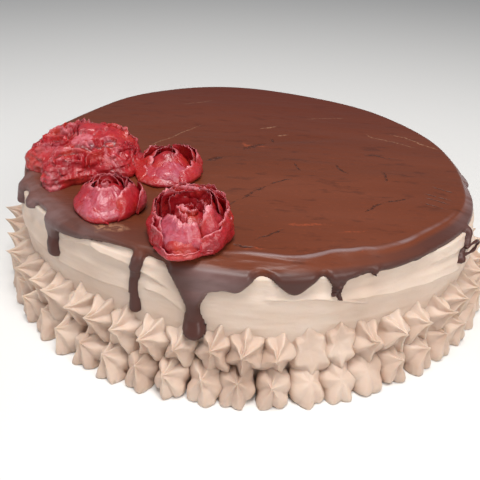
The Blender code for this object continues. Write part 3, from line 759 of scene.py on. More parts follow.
def glazeRide(angle, height):
    # how far a long drip stands off the wall where it runs over the piped border
    ride = 0.0
    reach, (high, low) = glazePour["rideReach"], glazePour["rideHeights"]
    for centre, tip, root, neck, bulb, lean, lift in glazePour["drips"]:
        if lift > 0.0:
            near = hill(np.degrees(angle), centre + lean, reach)
            ride = ride + lift * np.minimum(near * 2.5, 1.0) * smoothStep(-height, -high, -low)
    return ride


def bulbSwell(angle, height):
    # extra thickness gathered in each drip's round end
    swell = 0.0
    for centre, tip, root, neck, bulb, lean, lift in glazePour["drips"]:
        across = angleApart(np.degrees(angle), centre + lean) * math.radians(1.0) * cakePlan["cornerRadius"]
        swell = swell + np.exp(-(across ** 2 + (height - tip - bulb) ** 2) / (2.0 * bulb ** 2))
    return swell


def topRelief(x, y):
    # shallow knife strokes and swells of the glazed top
    depth, scale = glazePour["topNoise"]
    relief = depth * layeredNoise(x * scale, y * scale, 0.0 * x, 41, 2)
    for x0, y0, x1, y1, width, rise in glazePour["knifeStrokes"]:
        dx, dy = x1 - x0, y1 - y0
        length = math.hypot(dx, dy)
        along = ((x - x0) * dx + (y - y0) * dy) / length ** 2
        away = ((x - x0) * dy - (y - y0) * dx) / length
        ends = smoothStep(along, -0.1, 0.2) * smoothStep(-along, -1.1, -0.8)
        relief = relief + rise * np.exp(-(away / width) ** 2) * ends
    return relief


def makeGlazePour():
    # grid of angle by distance down the profile; its thickness follows the field with a round edge,
    # grid lines near the edge are drawn onto it, and the kept part is closed by an underside
    settings = glazePour
    columns = settings["columns"]
    angles = roundAngles(columns)
    rim = rimRadiusAt(angles)
    shoulder = shoulderLength(angles)
    rimShares = settings["rimShares"]
    evenShares = np.linspace(*settings["topShares"], settings["topRows"] - len(rimShares))
    topShares = np.append(evenShares, rimShares)
    downRows = [rim * (share - 1.0) for share in topShares]
    wallStart = shoulder + cakePlan["cornerHeight"] - settings["wallFrom"]
    downRows += [wallStart * share ** settings["crowding"]
                 for share in np.linspace(0.0, 1.0, settings["shoulderRows"], endpoint=False)]
    downRows += [shoulder + cakePlan["cornerHeight"] - height
                 for height in np.linspace(settings["wallFrom"], settings["wallTo"], settings["wallRows"])]
    down = np.stack(downRows)
    angle = np.broadcast_to(angles, down.shape).copy()
    height = shoulder + cakePlan["cornerHeight"] - down
    field = glazeField(angle, height)
    # draw nearby grid points towards the edge
    small = 0.00002
    radius = cakePlan["cornerRadius"]
    slopeU = (glazeField(angle + small / radius, height) - field) / small
    slopeZ = (glazeField(angle, height + small) - field) / small
    steep = np.maximum(slopeU ** 2 + slopeZ ** 2, 0.25)
    pull = settings["pull"]
    target = np.where(np.abs(field) < pull, field * np.abs(field) / pull, field)
    shift = (target - field) / steep
    angle = angle + shift * slopeU / radius
    height = height + shift * slopeZ
    down = shoulder + cakePlan["cornerHeight"] - height
    field = target
    degrees, below = np.degrees(angle), down - shoulder
    share = np.clip(field / settings["edgeWidth"], 0.0, 1.0)
    thick = settings["thickness"] * np.sqrt(1.0 - (1.0 - share) ** 2)
    onSide = smoothStep(down, 0.0, 0.004)
    thick = thick * (1.0 + settings["bulbGain"] * bulbSwell(angle, height) * onSide)
    thick = np.where(field < 0.0, -0.0005, thick)
    relief = coatRelief(angle, height) * onSide
    flat = cakeSkin(angle, down, 0.0 * down)
    relief = relief + topRelief(flat[..., 0], flat[..., 1]) * (1.0 - onSide)
    bead = settings["rimBead"]
    onRim = np.exp(-((down - bead["place"]) / bead["reach"]) ** 2)
    relief = relief + bead["height"] * onRim * hill(degrees, bead["centre"], bead["left"], bead["right"])
    lap = settings["lap"]
    (startAngle, startZ), (endAngle, endZ) = lap["start"], lap["end"]
    past = (degrees - startAngle) / (endAngle - startAngle) - (startZ - height) / (startZ - endZ)
    lapped = smoothStep(past, -0.05, 0.05) * (0.4 + 0.6 * np.exp(-np.maximum(past, 0.0) * 1.5)) * onSide
    nearLap = np.minimum(2.0 * hill(degrees, endAngle, lap["left"], lap["right"]), 1.0)
    relief = relief + lap["rise"] * lapped * nearLap * share
    crumbs = settings["crumbs"]
    crumbly = hill(degrees, crumbs["centre"], crumbs["reach"])
    crumbly = crumbly * smoothStep(below, crumbs["below"], crumbs["below"] + 0.002)
    lumps = layeredNoise(*(flat[..., i] * crumbs["scale"] for i in range(3)), 91, 2)
    relief = relief + crumbs["height"] * crumbly * lumps
    ride = glazeRide(angle, height)
    outer = cakeSkin(angle, down, thick + relief + ride)
    inner = cakeSkin(angle, down, settings["underside"] + relief * 0.5 + np.minimum(ride, 0.0))
    rows = len(downRows)
    quads = gridFaces(rows, columns)
    keep = (field.reshape(-1)[quads] > 0.0).any(axis=1)
    keep |= quads[:, 0] < (settings["topRows"] + 2) * columns
    quads = quads[keep]
    count = rows * columns
    # rim edges of the kept quads join the outer sheet to the underside
    edges = np.concatenate([quads[:, [a, b]] for a, b in ((0, 1), (1, 2), (2, 3), (3, 0))])
    keys = edges[:, 0].astype(np.int64) * count + edges[:, 1]
    backKeys = edges[:, 1].astype(np.int64) * count + edges[:, 0]
    rimEdges = edges[~np.isin(keys, backKeys)]
    rimEdges = rimEdges[rimEdges.min(axis=1) >= columns]
    walls = np.stack((rimEdges[:, 1], rimEdges[:, 0], rimEdges[:, 0] + count, rimEdges[:, 1] + count), -1)
    poles = np.array([cakeSkin(np.zeros(1), np.full(1, -0.1), np.full(1, settings["thickness"]))[0],
                      cakeSkin(np.zeros(1), np.full(1, -0.1), np.full(1, settings["underside"]))[0]])
    poles[:, :2] = 0.0
    poles[:, 2] = cakePlan["bodyHeight"] + np.array((settings["thickness"], settings["underside"]))
    points = np.concatenate((outer.reshape(-1, 3), inner.reshape(-1, 3), poles))
    caps = [fanFaces(0, columns, 2 * count), fanFaces(count, columns, 2 * count + 1, False)]
    faces = quads[:, ::-1].tolist() + (quads + count).tolist() + walls.tolist()
    faces += caps[0].tolist() + caps[1].tolist()
    used = np.zeros(len(points), bool)
    for block in (quads, quads + count, walls, caps[0], caps[1]):
        used[block.reshape(-1)] = True
    renumber = np.cumsum(used) - 1
    faces = [[int(renumber[i]) for i in face] for face in faces]
    # hang: 0 on the top, 1 on the wall; the grey: painted shade and grey reflection, most where the pour
    # hangs; the
    # sheen: painted sheen, less beside the lap, where the drip's root is left darker as painted shade
    hang = smoothStep(below, -0.003, 0.001)
    plain = 1.0 - 0.9 * nearLap * (1.0 - smoothStep(past, -0.02, 0.05))
    aroundRim, acrossRim, strength = settings["rimSheen"]
    sheens = [strength * hill(degrees, *aroundRim) ** 0.5 * hill(down * 1000.0, *acrossRim)]
    for around, origin, comesIn, goesOut, strength in settings["sheens"]:
        entered = smoothStep(down if origin == "rim" else below, *comesIn)
        left = 1.0 - smoothStep(below, *goesOut)
        sheens.append(strength * hill(degrees, *around) * entered * left * plain)
    shadeGreys = [settings["hangShadeGrey"] * hang]
    for around, power, comesIn, strength in settings["shadeGreys"]:
        shadeGreys.append(strength * hill(degrees, *around) ** power * smoothStep(down, *comesIn))
    shades = {}
    for key, values in (("hang", hang), ("paintedShadeGrey", np.max(shadeGreys, axis=0)), ("sheen", np.max(sheens, axis=0))):
        both = np.concatenate((values.reshape(-1), values.reshape(-1), (0.0, 0.0)))
        shades[key] = both[used]
    addPiece("glazePour", points[used], faces, glazeFinish, "chocolate_glaze", shades)


makeGlazePour()

glazeLoop = {
    # middle line of a thin thread hanging beside a drip: angle, height, distance from the wall
    "line": ((53.8, 0.0524, 0.002), (55.4, 0.054, 0.0034), (57.4, 0.0543, 0.0044), (59.0, 0.053, 0.0048),
             (59.0, 0.0508, 0.0046), (57.4, 0.0493, 0.004), (55.0, 0.049, 0.0028), (53.0, 0.0496, 0.0018)),
    "radius": 0.00075, "steps": 60, "sides": 12,
}


def makeGlazeLoop():
    # a tube along the smoothed middle line, thinner in places and closed by a point at both ends
    settings = glazeLoop
    steps, sides = settings["steps"], settings["sides"]
    marks = np.array(settings["line"])
    share = np.linspace(0.0, len(marks) - 1.0, steps)
    weights = np.array([np.maximum(1.0 - np.abs(share + shift - index), 0.0)
                        for shift in (-0.5, 0.0, 0.5) for index in range(len(marks))])
    weights = weights.reshape(3, len(marks), steps).mean(axis=0)
    angle, height, out = (weights / weights.sum(axis=0)).T.dot(marks).T
    middle = wallPoint(np.radians(angle), height, out)
    ahead = np.gradient(middle, axis=0)
    ahead = ahead / np.linalg.norm(ahead, axis=1, keepdims=True)
    outward = np.stack((np.sin(np.radians(angle)), -np.cos(np.radians(angle)), 0.0 * angle), -1)
    side = np.cross(ahead, outward)
    side = side / np.linalg.norm(side, axis=1, keepdims=True)
    other = np.cross(side, ahead)
    around = roundAngles(sides)[None, :, None]
    radius = settings["radius"] * (1.0 + 0.25 * np.sin(share * 4.0))[:, None, None]
    points = middle[:, None] + radius * (side[:, None] * np.cos(around) + other[:, None] * np.sin(around))
    faces = gridFaces(steps, sides).tolist()
    faces.append(list(range(sides))[::-1])
    faces.append([(steps - 1) * sides + i for i in range(sides)])
    count = steps * sides
    shades = {"hang": np.ones(count), "paintedShadeGrey": np.full(count, glazePour["hangShadeGrey"]), "sheen": np.zeros(count)}
    points = points.reshape(-1, 3)
    addPiece("glazeLoop", points, faces, glazeFinish, "chocolate_glaze", shades)


makeGlazeLoop()


# Piped star borders

# "twist" and "uneven" are the largest turn and the largest share of each wave round a star's rows
starForm = {
    "across": 60, "rows": 22, "seed": 11, "dropHeight": 0.0003, "twist": 0.45, "uneven": 0.065,
    "roughScale": 300.0, "roughDepth": 0.0005, "lobeSpread": 0.3,
}

# sizes and furrow depths are shares at the levels of "along": 0 is the foot at the wall, 1 the tip;
# a smashed star is (angle, reach in degrees, share of its length left), a stretched one (angle, reach, gain)
upperBorder = {
    "count": 56, "first": 0.9, "height": 0.0222, "halfWidth": 0.0088, "halfHeight": 0.0118, "reach": 0.0139,
    "elevation": 22.0, "rootBack": 0.1, "drift": (-0.0016, 0.001), "offset": 0.0003,
    "along": (-0.1, 0.0, 0.12, 0.25, 0.4, 0.55, 0.7, 0.85, 1.0),
    "sizes": (1.1, 1.08, 1.06, 1.0, 0.8, 0.5, 0.26, 0.11, 0.0),
    "furrows": (0.24, 0.3, 0.36, 0.42, 0.5, 0.58, 0.6, 0.5, 0.3),
    "roundness": (0.7, 0.55, 0.35, 0.18, 0.06, 0.0, 0.0, 0.0, 0.0),
    "smashed": ((16.5, 6.5, 0.3), (30.0, 3.0, 0.75)), "stretched": ((-86.0, 20.0, 0.0052),),
}

lowerBorder = {
    "count": 55, "first": -0.6, "height": 0.006, "halfWidth": 0.0082, "halfHeight": 0.012, "reach": 0.0132,
    "elevation": 44.0, "rootBack": 0.75, "drift": (-0.0006, 0.0), "offset": 0.005,
    "along": (-0.75, 0.0, 0.15, 0.3, 0.45, 0.6, 0.75, 0.88, 1.0),
    "sizes": (1.0, 1.06, 1.06, 1.0, 0.84, 0.54, 0.28, 0.12, 0.0),
    "furrows": (0.14, 0.22, 0.28, 0.34, 0.42, 0.5, 0.54, 0.5, 0.3),
    "roundness": (1.0, 1.0, 0.95, 0.78, 0.5, 0.26, 0.1, 0.0, 0.0),
    "smashed": ((17.5, 8.0, 0.55),), "stretched": (),
}


def starDraws(border):
    # the size, turn and place of each star of a ring, in the ring's own order of draws
    draw = random.Random(starForm["seed"] + border["count"])
    pitch = 360.0 / border["count"]
    stars = []
    for index in range(border["count"]):
        angle = math.radians(border["first"] + pitch * index + draw.uniform(-0.06, 0.06) * pitch)
        stars.append((
            angle, draw.uniform(0.93, 1.07), border["reach"] * draw.uniform(0.9, 1.12),
            math.radians(border["elevation"] + draw.uniform(-6.0, 6.0)),
            draw.uniform(-0.5, 0.5) * math.pi / 3.0,
            border["drift"][0] + draw.uniform(-0.0016, 0.0016),
            border["drift"][1] + draw.uniform(-0.001, 0.001),
            border["height"] + draw.uniform(-0.0005, 0.0005),
        ))
    return np.array(stars)


def makeBorder(name, border, node):
    # each star: rows along a tilted axis, each row a ring of five or six lobes; near the foot the lobes
    # are round with narrow grooves, towards the tip they turn to thin crests with hollow sides
    stars = starDraws(border)
    angle, size, reach, elevation, turn, driftX, driftZ, level = stars.T[:, :, None, None]
    count, rows, across = len(stars), starForm["rows"], starForm["across"]
    draw = np.random.default_rng(starForm["seed"] + 1)
    lobes = draw.choice((5.0, 6.0), (count, 1, 1))
    blunt = np.zeros((count, 1, 1))
    for centre, half, left in border["smashed"]:
        near = np.abs(angleApart(np.degrees(angle), centre)) < half
        blunt = np.where(near, 1.0 - left, blunt)
    for centre, half, gain in border["stretched"]:
        reach = reach + gain * hill(np.degrees(angle), centre, half)
    share = np.linspace(0.0, 1.0, rows + 1)[None, :-1, None]
    along = -border["rootBack"] + (1.0 + border["rootBack"]) * share ** 0.85
    around = roundAngles(across)[None, None, :]
    sizes = np.interp(along, border["along"], border["sizes"])
    sizes = sizes + blunt * 1.1 * np.sin(np.pi * np.clip(along, 0.0, 1.0)) * (1.0 - sizes)
    furrow = np.interp(along, border["along"], border["furrows"]) * (1.0 - 0.6 * blunt)
    roundness = np.interp(along, border["along"], border["roundness"])
    twist = draw.uniform(-starForm["twist"], starForm["twist"], (count, 1, 1)) * np.maximum(along, 0.0)
    wave = (around - turn - twist) * lobes / 2.0
    sharp = np.abs(np.sin(wave))
    lobed = 1.0 - np.abs(np.cos(wave)) ** 0.8
    groove = sharp * (1.0 - roundness) + lobed * roundness
    uneven = 1.0
    for waves in (1, 2, 3):
        strength = draw.uniform(0.0, starForm["uneven"], (count, 1, 1))
        phase = draw.uniform(0.0, 2.0 * np.pi, (count, 1, 1))
        uneven = uneven + strength * np.cos(waves * around + phase)
    lobe = np.floor((around - turn - twist) * lobes / (2.0 * np.pi) + 0.5) % lobes
    own = latticeValue(lobe, np.arange(count)[:, None, None] + 0.0 * lobe, 0.0 * lobe, 71)
    fullness = 1.0 + starForm["lobeSpread"] * (own - 0.5) * (1.0 - groove)
    radius = sizes * size * (1.0 - furrow * groove) * uneven * fullness
    pulled = np.maximum(along, 0.0) ** 2
    sideways = border["halfWidth"] * radius * np.cos(around) + driftX * pulled
    upward = border["halfHeight"] * radius * np.sin(around) + driftZ * pulled
    outward = along * reach * (1.0 - blunt * np.maximum(along, 0.0))
    root = wallPoint(angle[:, 0, 0], level[:, 0, 0], border["offset"])[:, None, None, :]
    zero = np.zeros_like(angle)
    outDir = np.stack((np.sin(angle), -np.cos(angle), zero), -1)
    sideDir = np.stack((np.cos(angle), np.sin(angle), zero), -1)
    upDir = np.array((0.0, 0.0, 1.0))
    tilt, lift = np.cos(elevation)[..., None], np.sin(elevation)[..., None]
    axis = outDir * tilt + upDir * lift
    upright = upDir * tilt - outDir * lift
    points = root + axis * outward[..., None] + sideDir * sideways[..., None] + upright * upward[..., None]
    rough = layeredNoise(*(points[..., i] * starForm["roughScale"] for i in range(3)), 61, 3)
    points = points + (starForm["roughDepth"] * (rough - 0.5))[..., None] * (sideDir + upDir)
    points[..., 2] = np.maximum(points[..., 2], starForm["dropHeight"])
    length = (reach * (1.0 - blunt))[:, 0, 0]
    tips = (root[:, 0, 0] + axis[:, 0, 0] * length[:, None] + sideDir[:, 0, 0] * driftX[:, 0]
            + upright[:, 0, 0] * driftZ[:, 0])
    feet = points[:, 0].mean(axis=1)
    block = rows * across + 2
    faces = []
    one = gridFaces(rows, across)
    tipFan = fanFaces((rows - 1) * across, across, rows * across)
    footFan = fanFaces(0, across, rows * across + 1, False)
    for star in range(count):
        for part in (one, tipFan, footFan):
            faces += (part + star * block).tolist()
    points = np.concatenate((points.reshape(count, -1, 3), tips[:, None], feet[:, None]), axis=1)
    addPiece(name, points.reshape(-1, 3), faces, shadedStarCream, node)


makeBorder("upperStars", upperBorder, "upper_star_border")
makeBorder("lowerStars", lowerBorder, "lower_star_border")


# Roses

# Each petal: start angle from +X and span in degrees, distance from the axis at its start and end, height at
# its start, middle and end, lean (less than 0 closes it over the heart), outward curl of the rim, share of
# painted mauve sheen on its outer face; lengths are shares of the rose's radius and height. "point": angle,
# reach and share of a pointed front.
roseSet = {
    "rose_front_bud": {
        "centre": (-0.0657, -0.0785), "radius": 0.0168, "height": 0.0138, "crumple": 0.00045, "ragged": 0.06,
        "cushion": 0.9, "cushionRadius": 0.7, "point": (262, 46, 0.13),
        "petals": (
            (138, 144, 0.99, 0.97, 0.62, 0.6, 0.28, -0.18, 0.02, 0.2),
            (112, 104, 0.92, 0.93, 0.9, 0.9, 0.6, -0.42, 0.0, 0.2),
            (336, 70, 1.03, 1.01, 0.36, 0.72, 0.66, 0.0, 0.06, 0.5),
            (296, 104, 0.98, 0.94, 0.4, 0.88, 0.84, -0.3, 0.0, 0.0),
            (26, 140, 0.94, 0.93, 0.7, 0.86, 0.62, -0.12, 0.02, 0.0),
            (186, 132, 0.95, 0.95, 0.46, 0.66, 0.54, -0.36, 0.0, 0.9),
            (24, 138, 0.8, 0.8, 0.86, 0.98, 0.74, -0.16, 0.0, 0.0),
            (160, 190, 0.87, 0.87, 0.66, 0.93, 0.9, -0.58, 0.0, 0.7),
            (36, 128, 0.66, 0.66, 0.92, 1.05, 0.82, -0.18, 0.0, 0.0),
            (40, 130, 0.52, 0.5, 0.9, 1.05, 0.86, -0.16, 0.0, 0.0),
            (60, 320, 0.38, 0.16, 0.9, 1.0, 0.96, -0.16, 0.0, 0.1),
        ),
    },
    "rose_back_bud": {
        "centre": (-0.0434, -0.0379), "radius": 0.0188, "height": 0.0122, "crumple": 0.0006, "ragged": 0.1,
        "cushion": 0.92, "cushionRadius": 0.7, "point": (250, 60, 0.04),
        "petals": (
            (8, 72, 0.98, 0.95, 0.78, 1.06, 0.96, -0.04, 0.03, 0.4),
            (78, 84, 0.94, 0.97, 0.9, 0.98, 0.66, -0.08, 0.02, 0.1),
            (152, 80, 0.99, 0.98, 0.6, 0.6, 0.32, -0.18, 0.02, 0.0),
            (120, 100, 0.92, 0.92, 0.92, 0.92, 0.6, -0.4, 0.0, 0.0),
            (216, 76, 1.0, 0.97, 0.36, 0.46, 0.38, -0.26, 0.0, 0.2),
            (296, 80, 0.98, 0.98, 0.38, 0.6, 0.76, -0.16, 0.0, 0.1),
            (14, 76, 0.85, 0.83, 0.94, 1.12, 1.0, -0.08, 0.02, 0.2),
            (88, 92, 0.81, 0.83, 0.98, 1.06, 0.76, -0.12, 0.0, 0.0),
            (176, 90, 0.88, 0.86, 0.6, 0.74, 0.72, -0.5, 0.0, 0.5),
            (238, 126, 0.88, 0.88, 0.58, 0.88, 0.78, -0.6, 0.0, 0.9),
            (56, 130, 0.64, 0.62, 1.0, 1.1, 0.86, -0.18, 0.0, 0.0),
            (324, 110, 0.68, 0.62, 0.9, 1.08, 1.02, -0.52, 0.0, 0.0),
            (150, 300, 0.42, 0.18, 0.92, 1.02, 1.04, -0.26, 0.0, 0.0),
        ),
    },
    "rose_open": {
        "centre": (-0.0252, -0.1005), "radius": 0.0197, "height": 0.0186, "crumple": 0.00065, "ragged": 0.075,
        "cushion": 0.66, "cushionRadius": 0.7, "point": (260, 36, 0.17),
        "petals": (
            (10, 166, 0.98, 0.98, 0.8, 0.96, 0.82, 0.02, 0.02, 0.0),
            (13, 154, 0.93, 0.935, 0.82, 0.97, 0.84, 0.02, 0.0, 0.0),
            (16, 144, 0.88, 0.885, 0.84, 0.98, 0.84, 0.02, 0.0, 0.0),
            (20, 136, 0.825, 0.83, 0.84, 0.97, 0.8, 0.02, 0.0, 0.0),
            (26, 128, 0.76, 0.765, 0.8, 0.94, 0.76, 0.0, 0.0, 0.0),
            (160, 78, 0.98, 0.93, 0.8, 0.62, 0.26, 0.0, 0.02, 0.0),
            (168, 60, 0.88, 0.9, 0.74, 0.66, 0.36, -0.02, 0.0, 0.0),
            (286, 92, 0.94, 0.98, 0.26, 0.6, 0.82, 0.0, 0.02, 0.0),
            (322, 66, 0.87, 0.9, 0.46, 0.74, 0.8, 0.0, 0.03, 0.0),
            (218, 92, 0.94, 0.94, 0.12, 0.24, 0.14, 0.02, 0.07, 0.2),
            (292, 80, 0.92, 0.84, 0.26, 1.04, 0.46, -0.24, 0.0, 0.25),
            (194, 104, 0.86, 0.88, 0.68, 0.78, 0.7, -0.32, 0.0, 1.0),
            (226, 96, 0.93, 0.9, 0.22, 0.42, 0.28, -0.16, 0.0, 0.1),
            (218, 92, 0.86, 0.86, 0.3, 0.48, 0.34, -0.12, 0.0, 0.0),
            (250, 60, 0.8, 0.78, 0.5, 0.62, 0.4, -0.24, 0.0, 0.0),
            (146, 124, 0.5, 0.46, 0.72, 0.84, 0.78, -0.16, 0.0, 0.0),
            (330, 110, 0.5, 0.5, 0.72, 0.84, 0.78, -0.1, 0.0, 0.0),
            (60, 330, 0.34, 0.12, 0.8, 0.86, 0.84, -0.1, 0.0, 0.0),
        ),
    },
}


# noise widths along a petal's rim are in degrees at a radius of 20 mm, scales are per metre
petalForm = {
    "sink": 0.0006, "loop": 40, "columnSpan": 1.9, "notchWidth": 9.0, "tornWidth": 3.2, "slowWidth": 24.0,
    "footThick": 0.0011, "rimThick": 0.00048, "unevenThick": 0.00022, "dentScale": 150.0, "grainScale": 800.0,
    "dent": 3.4, "grain": 0.7, "cushionRings": 12, "cushionColumns": 48, "cushionLump": 0.0016,
}


def roseFoot(rose):
    # the point of the tilted glaze under a rose's axis
    x, y = rose["centre"]
    tiltX, tiltY = cakePlan["tilt"]
    return np.array((x, y, cakePlan["bodyHeight"] + glazePour["thickness"] + tiltX * x + tiltY * y))


def petalSheet(rose, petal, seed):
    # a closed sheet: a thin loop up the outer face, over the rim and down the inner face, carried round the
    # rose's axis; its height and distance change along it, its rim is torn in places and its faces are dented
    start, span, near, far, lowStart, high, lowEnd, lean, curl, mauveSheen = petal
    form = petalForm
    columns, loop = max(24, int(span / form["columnSpan"])), form["loop"]
    share = np.linspace(0.0, 1.0, columns)[:, None]
    turn = roundAngles(loop)[None, :]
    rise = 0.5 - 0.5 * np.cos(turn)
    side = np.sin(turn)
    degrees = start + span * share
    around = np.radians(degrees)
    swell = np.clip(np.sin(np.pi * share), 0.0, 1.0) ** 0.45
    ends = lowStart + (lowEnd - lowStart) * share
    flat = 0.0 * share
    size = near * span * rose["radius"] / 0.02
    notch, torn, slow = (softNoise(share * size / form[key], flat, flat, seed + step)
                         for step, key in enumerate(("notchWidth", "tornWidth", "slowWidth")))
    notch, torn, slow = smoothStep(notch, 0.6, 0.84), torn - 0.5, slow - 0.5
    top = rose["height"] * (ends + (high - ends) * swell)
    top = top * smoothStep(share, -0.02, 0.05) * smoothStep(1.0 - share, -0.02, 0.05)
    tear = top * rose["ragged"] * (0.7 * slow + 0.55 * torn - 1.1 * notch * (0.5 + torn))
    lift = top * rise + tear * rise ** 7
    thick = form["footThick"] * (1.0 - rise) + form["rimThick"] + form["unevenThick"] * slow
    thick = thick * (0.4 + 0.6 * swell)
    pointAngle, pointReach, pointShare = rose["point"]
    pointed = 1.0 + pointShare * hill(degrees, pointAngle, pointReach)
    spread = rose["radius"] * (near + (far - near) * share) * pointed
    closing = np.where(lean < 0.0, lean * rise ** 1.8, lean * rise)
    wavy = 0.03 * np.sin(share * span / 18.0 + seed) * rise ** 2
    out = spread * (0.91 + closing + 0.09 * np.sin(np.pi * rise) + wavy)
    out = out + rose["radius"] * curl * smoothStep(rise, 0.72, 1.0)
    x, y = np.cos(around) * out, np.sin(around) * out
    dent, grain = (layeredNoise(x * scale, y * scale, lift * scale, seed + 3 + step, 2) - 0.5
                   for step, scale in enumerate((form["dentScale"], form["grainScale"])))
    crumpled = (form["dent"] * dent + form["grain"] * grain) * rose["crumple"]
    out = out + side * thick + crumpled * (0.35 + 0.65 * rise)
    points = np.stack((out * np.cos(around), out * np.sin(around), lift - form["sink"]), -1)
    # pale rim: painted highlight along the petal's rim
    edge = smoothStep(rise, 0.89, 0.98) * (0.35 + 0.65 * swell) + 0.0 * share
    # painted mauve sheen on the petal's outer face
    sheenFace = mauveSheen * smoothStep(rise, 0.1, 0.45) * swell * (side > -0.05) * (1.0 - edge)
    faces = gridFaces(columns, loop)[:, ::-1].tolist()
    faces.append(list(range(loop)))
    faces.append([(columns - 1) * loop + i for i in range(loop)][::-1])
    return points.reshape(-1, 3) + roseFoot(rose), faces, edge.reshape(-1), sheenFace.reshape(-1)


def capFaces(rings, columns, start):
    # faces of a closed heap: a polar grid whose first ring meets a top point and its last a bottom one
    count = rings * columns
    parts = (gridFaces(rings, columns)[:, ::-1], fanFaces(0, columns, count),
             fanFaces(count - columns, columns, count + 1, False))
    return [face for part in parts for face in (part + start).tolist()]


def makeRose(node, rose, seed):
    # every petal of the list and a cushion that fills the rose under them
    points, faces, rimHighlights, mauveSheens, start = [], [], [], [], 0
    for index, petal in enumerate(rose["petals"]):
        sheet, sheetFaces, edge, sheenFace = petalSheet(rose, petal, seed + index * 5)
        points.append(sheet)
        rimHighlights.append(edge)
        mauveSheens.append(sheenFace)
        faces += [[i + start for i in face] for face in sheetFaces]
        start += len(sheet)
    # cushion under the petals: a domed disc
    rings, columns, sink = petalForm["cushionRings"], petalForm["cushionColumns"], petalForm["sink"]
    share = np.linspace(0.0, 1.0, rings + 1)[1:, None]
    around = roundAngles(columns)[None, :]
    radius = rose["radius"] * rose["cushionRadius"] * share + 0.0 * around
    x, y = radius * np.cos(around), radius * np.sin(around)
    scale = petalForm["dentScale"]
    lump = petalForm["cushionLump"] * layeredNoise(x * scale, y * scale, 0.0 * x, seed + 50, 2)
    crown = rose["height"] * rose["cushion"]
    z = crown * (1.0 - share ** 2) ** 0.7 + lump * (1.0 - share) - sink
    dome = np.stack((x, y, z), -1).reshape(-1, 3) + roseFoot(rose)
    centre = roseFoot(rose) + (0.0, 0.0, crown)
    low = roseFoot(rose) - (0.0, 0.0, sink)
    faces += capFaces(rings, columns, start)
    points += [dome, centre[None], low[None]]
    plain = np.zeros(len(dome) + 2)
    shades = {"rim": np.concatenate(rimHighlights + [plain]), "mauveSheen": np.concatenate(mauveSheens + [plain])}
    addPiece(node + "Paste", np.concatenate(points), faces, pasteFinish, node, shades)


for number, (node, rose) in enumerate(roseSet.items()):
    makeRose(node, rose, 100 + 200 * number)

# The crushed rose: an oval heap. Folds are (centre, direction the lips face in degrees, spacing, height in
# metres, reach of the field); centres and spacings are shares of the rose's half size.
crushedRose = {
    "centre": (-0.088, -0.0345), "half": (0.03, 0.0268), "height": 0.0224, "rings": 132, "columns": 420,
    "outline": ((2, 0.035, 20.0), (3, 0.03, 250.0), (5, 0.02, 40.0), (9, 0.012, 80.0)),
    "lobes": ((254, 20, 0.24), (352, 26, 0.05), (75, 40, 0.03), (176, 34, 0.07), (222, 26, -0.15),
              (296, 44, -0.09)),
    "spiral": {"centre": (-0.5, 0.1), "spacing": 0.15, "height": 0.0024, "reach": (0.34, 0.66)},
    "strands": {"spacing": 0.3, "height": 0.0022, "tilt": -0.1},
    "sheets": {"spacing": 0.15, "height": 0.003},
    "wrap": {"from": 0.6, "spacing": 0.15, "height": 0.0028},
    # noises: scale along both half sizes, and height; "rolls" also change with the height and push sideways
    "bend": {"scale": 3.0, "along": 0.22, "across": 0.2},
    "crease": {"scale": (3.6, 6.0), "height": 0.0008}, "grain": {"scale": (16.0, 22.0), "height": 0.00014},
    "rolls": {"scale": 4.0, "upright": 430.0, "share": 0.055}, "foldGain": 1.15, "smoothHeight": 0.0014,
    "smooth": ((0.42, 0.06, 0.4, 0.32), (0.02, 0.34, 0.3, 0.22), (-0.02, -0.16, 0.34, 0.16),
               (-0.45, -0.42, 0.26, 0.14)),
    "pits": ((-0.28, 0.44, 0.1, 0.0034), (0.14, 0.66, 0.11, 0.0036), (-0.5, 0.1, 0.09, 0.0024),
             (0.62, 0.52, 0.09, 0.0026)),
}


def lipSteps(phase):
    # overlapping lips: each rises slowly, rounds over and drops steeply to the next
    share = phase - np.floor(phase)
    return np.where(share < 0.82, (share / 0.82) ** 1.6, 0.5 + 0.5 * np.cos(np.pi * (share - 0.82) / 0.18))


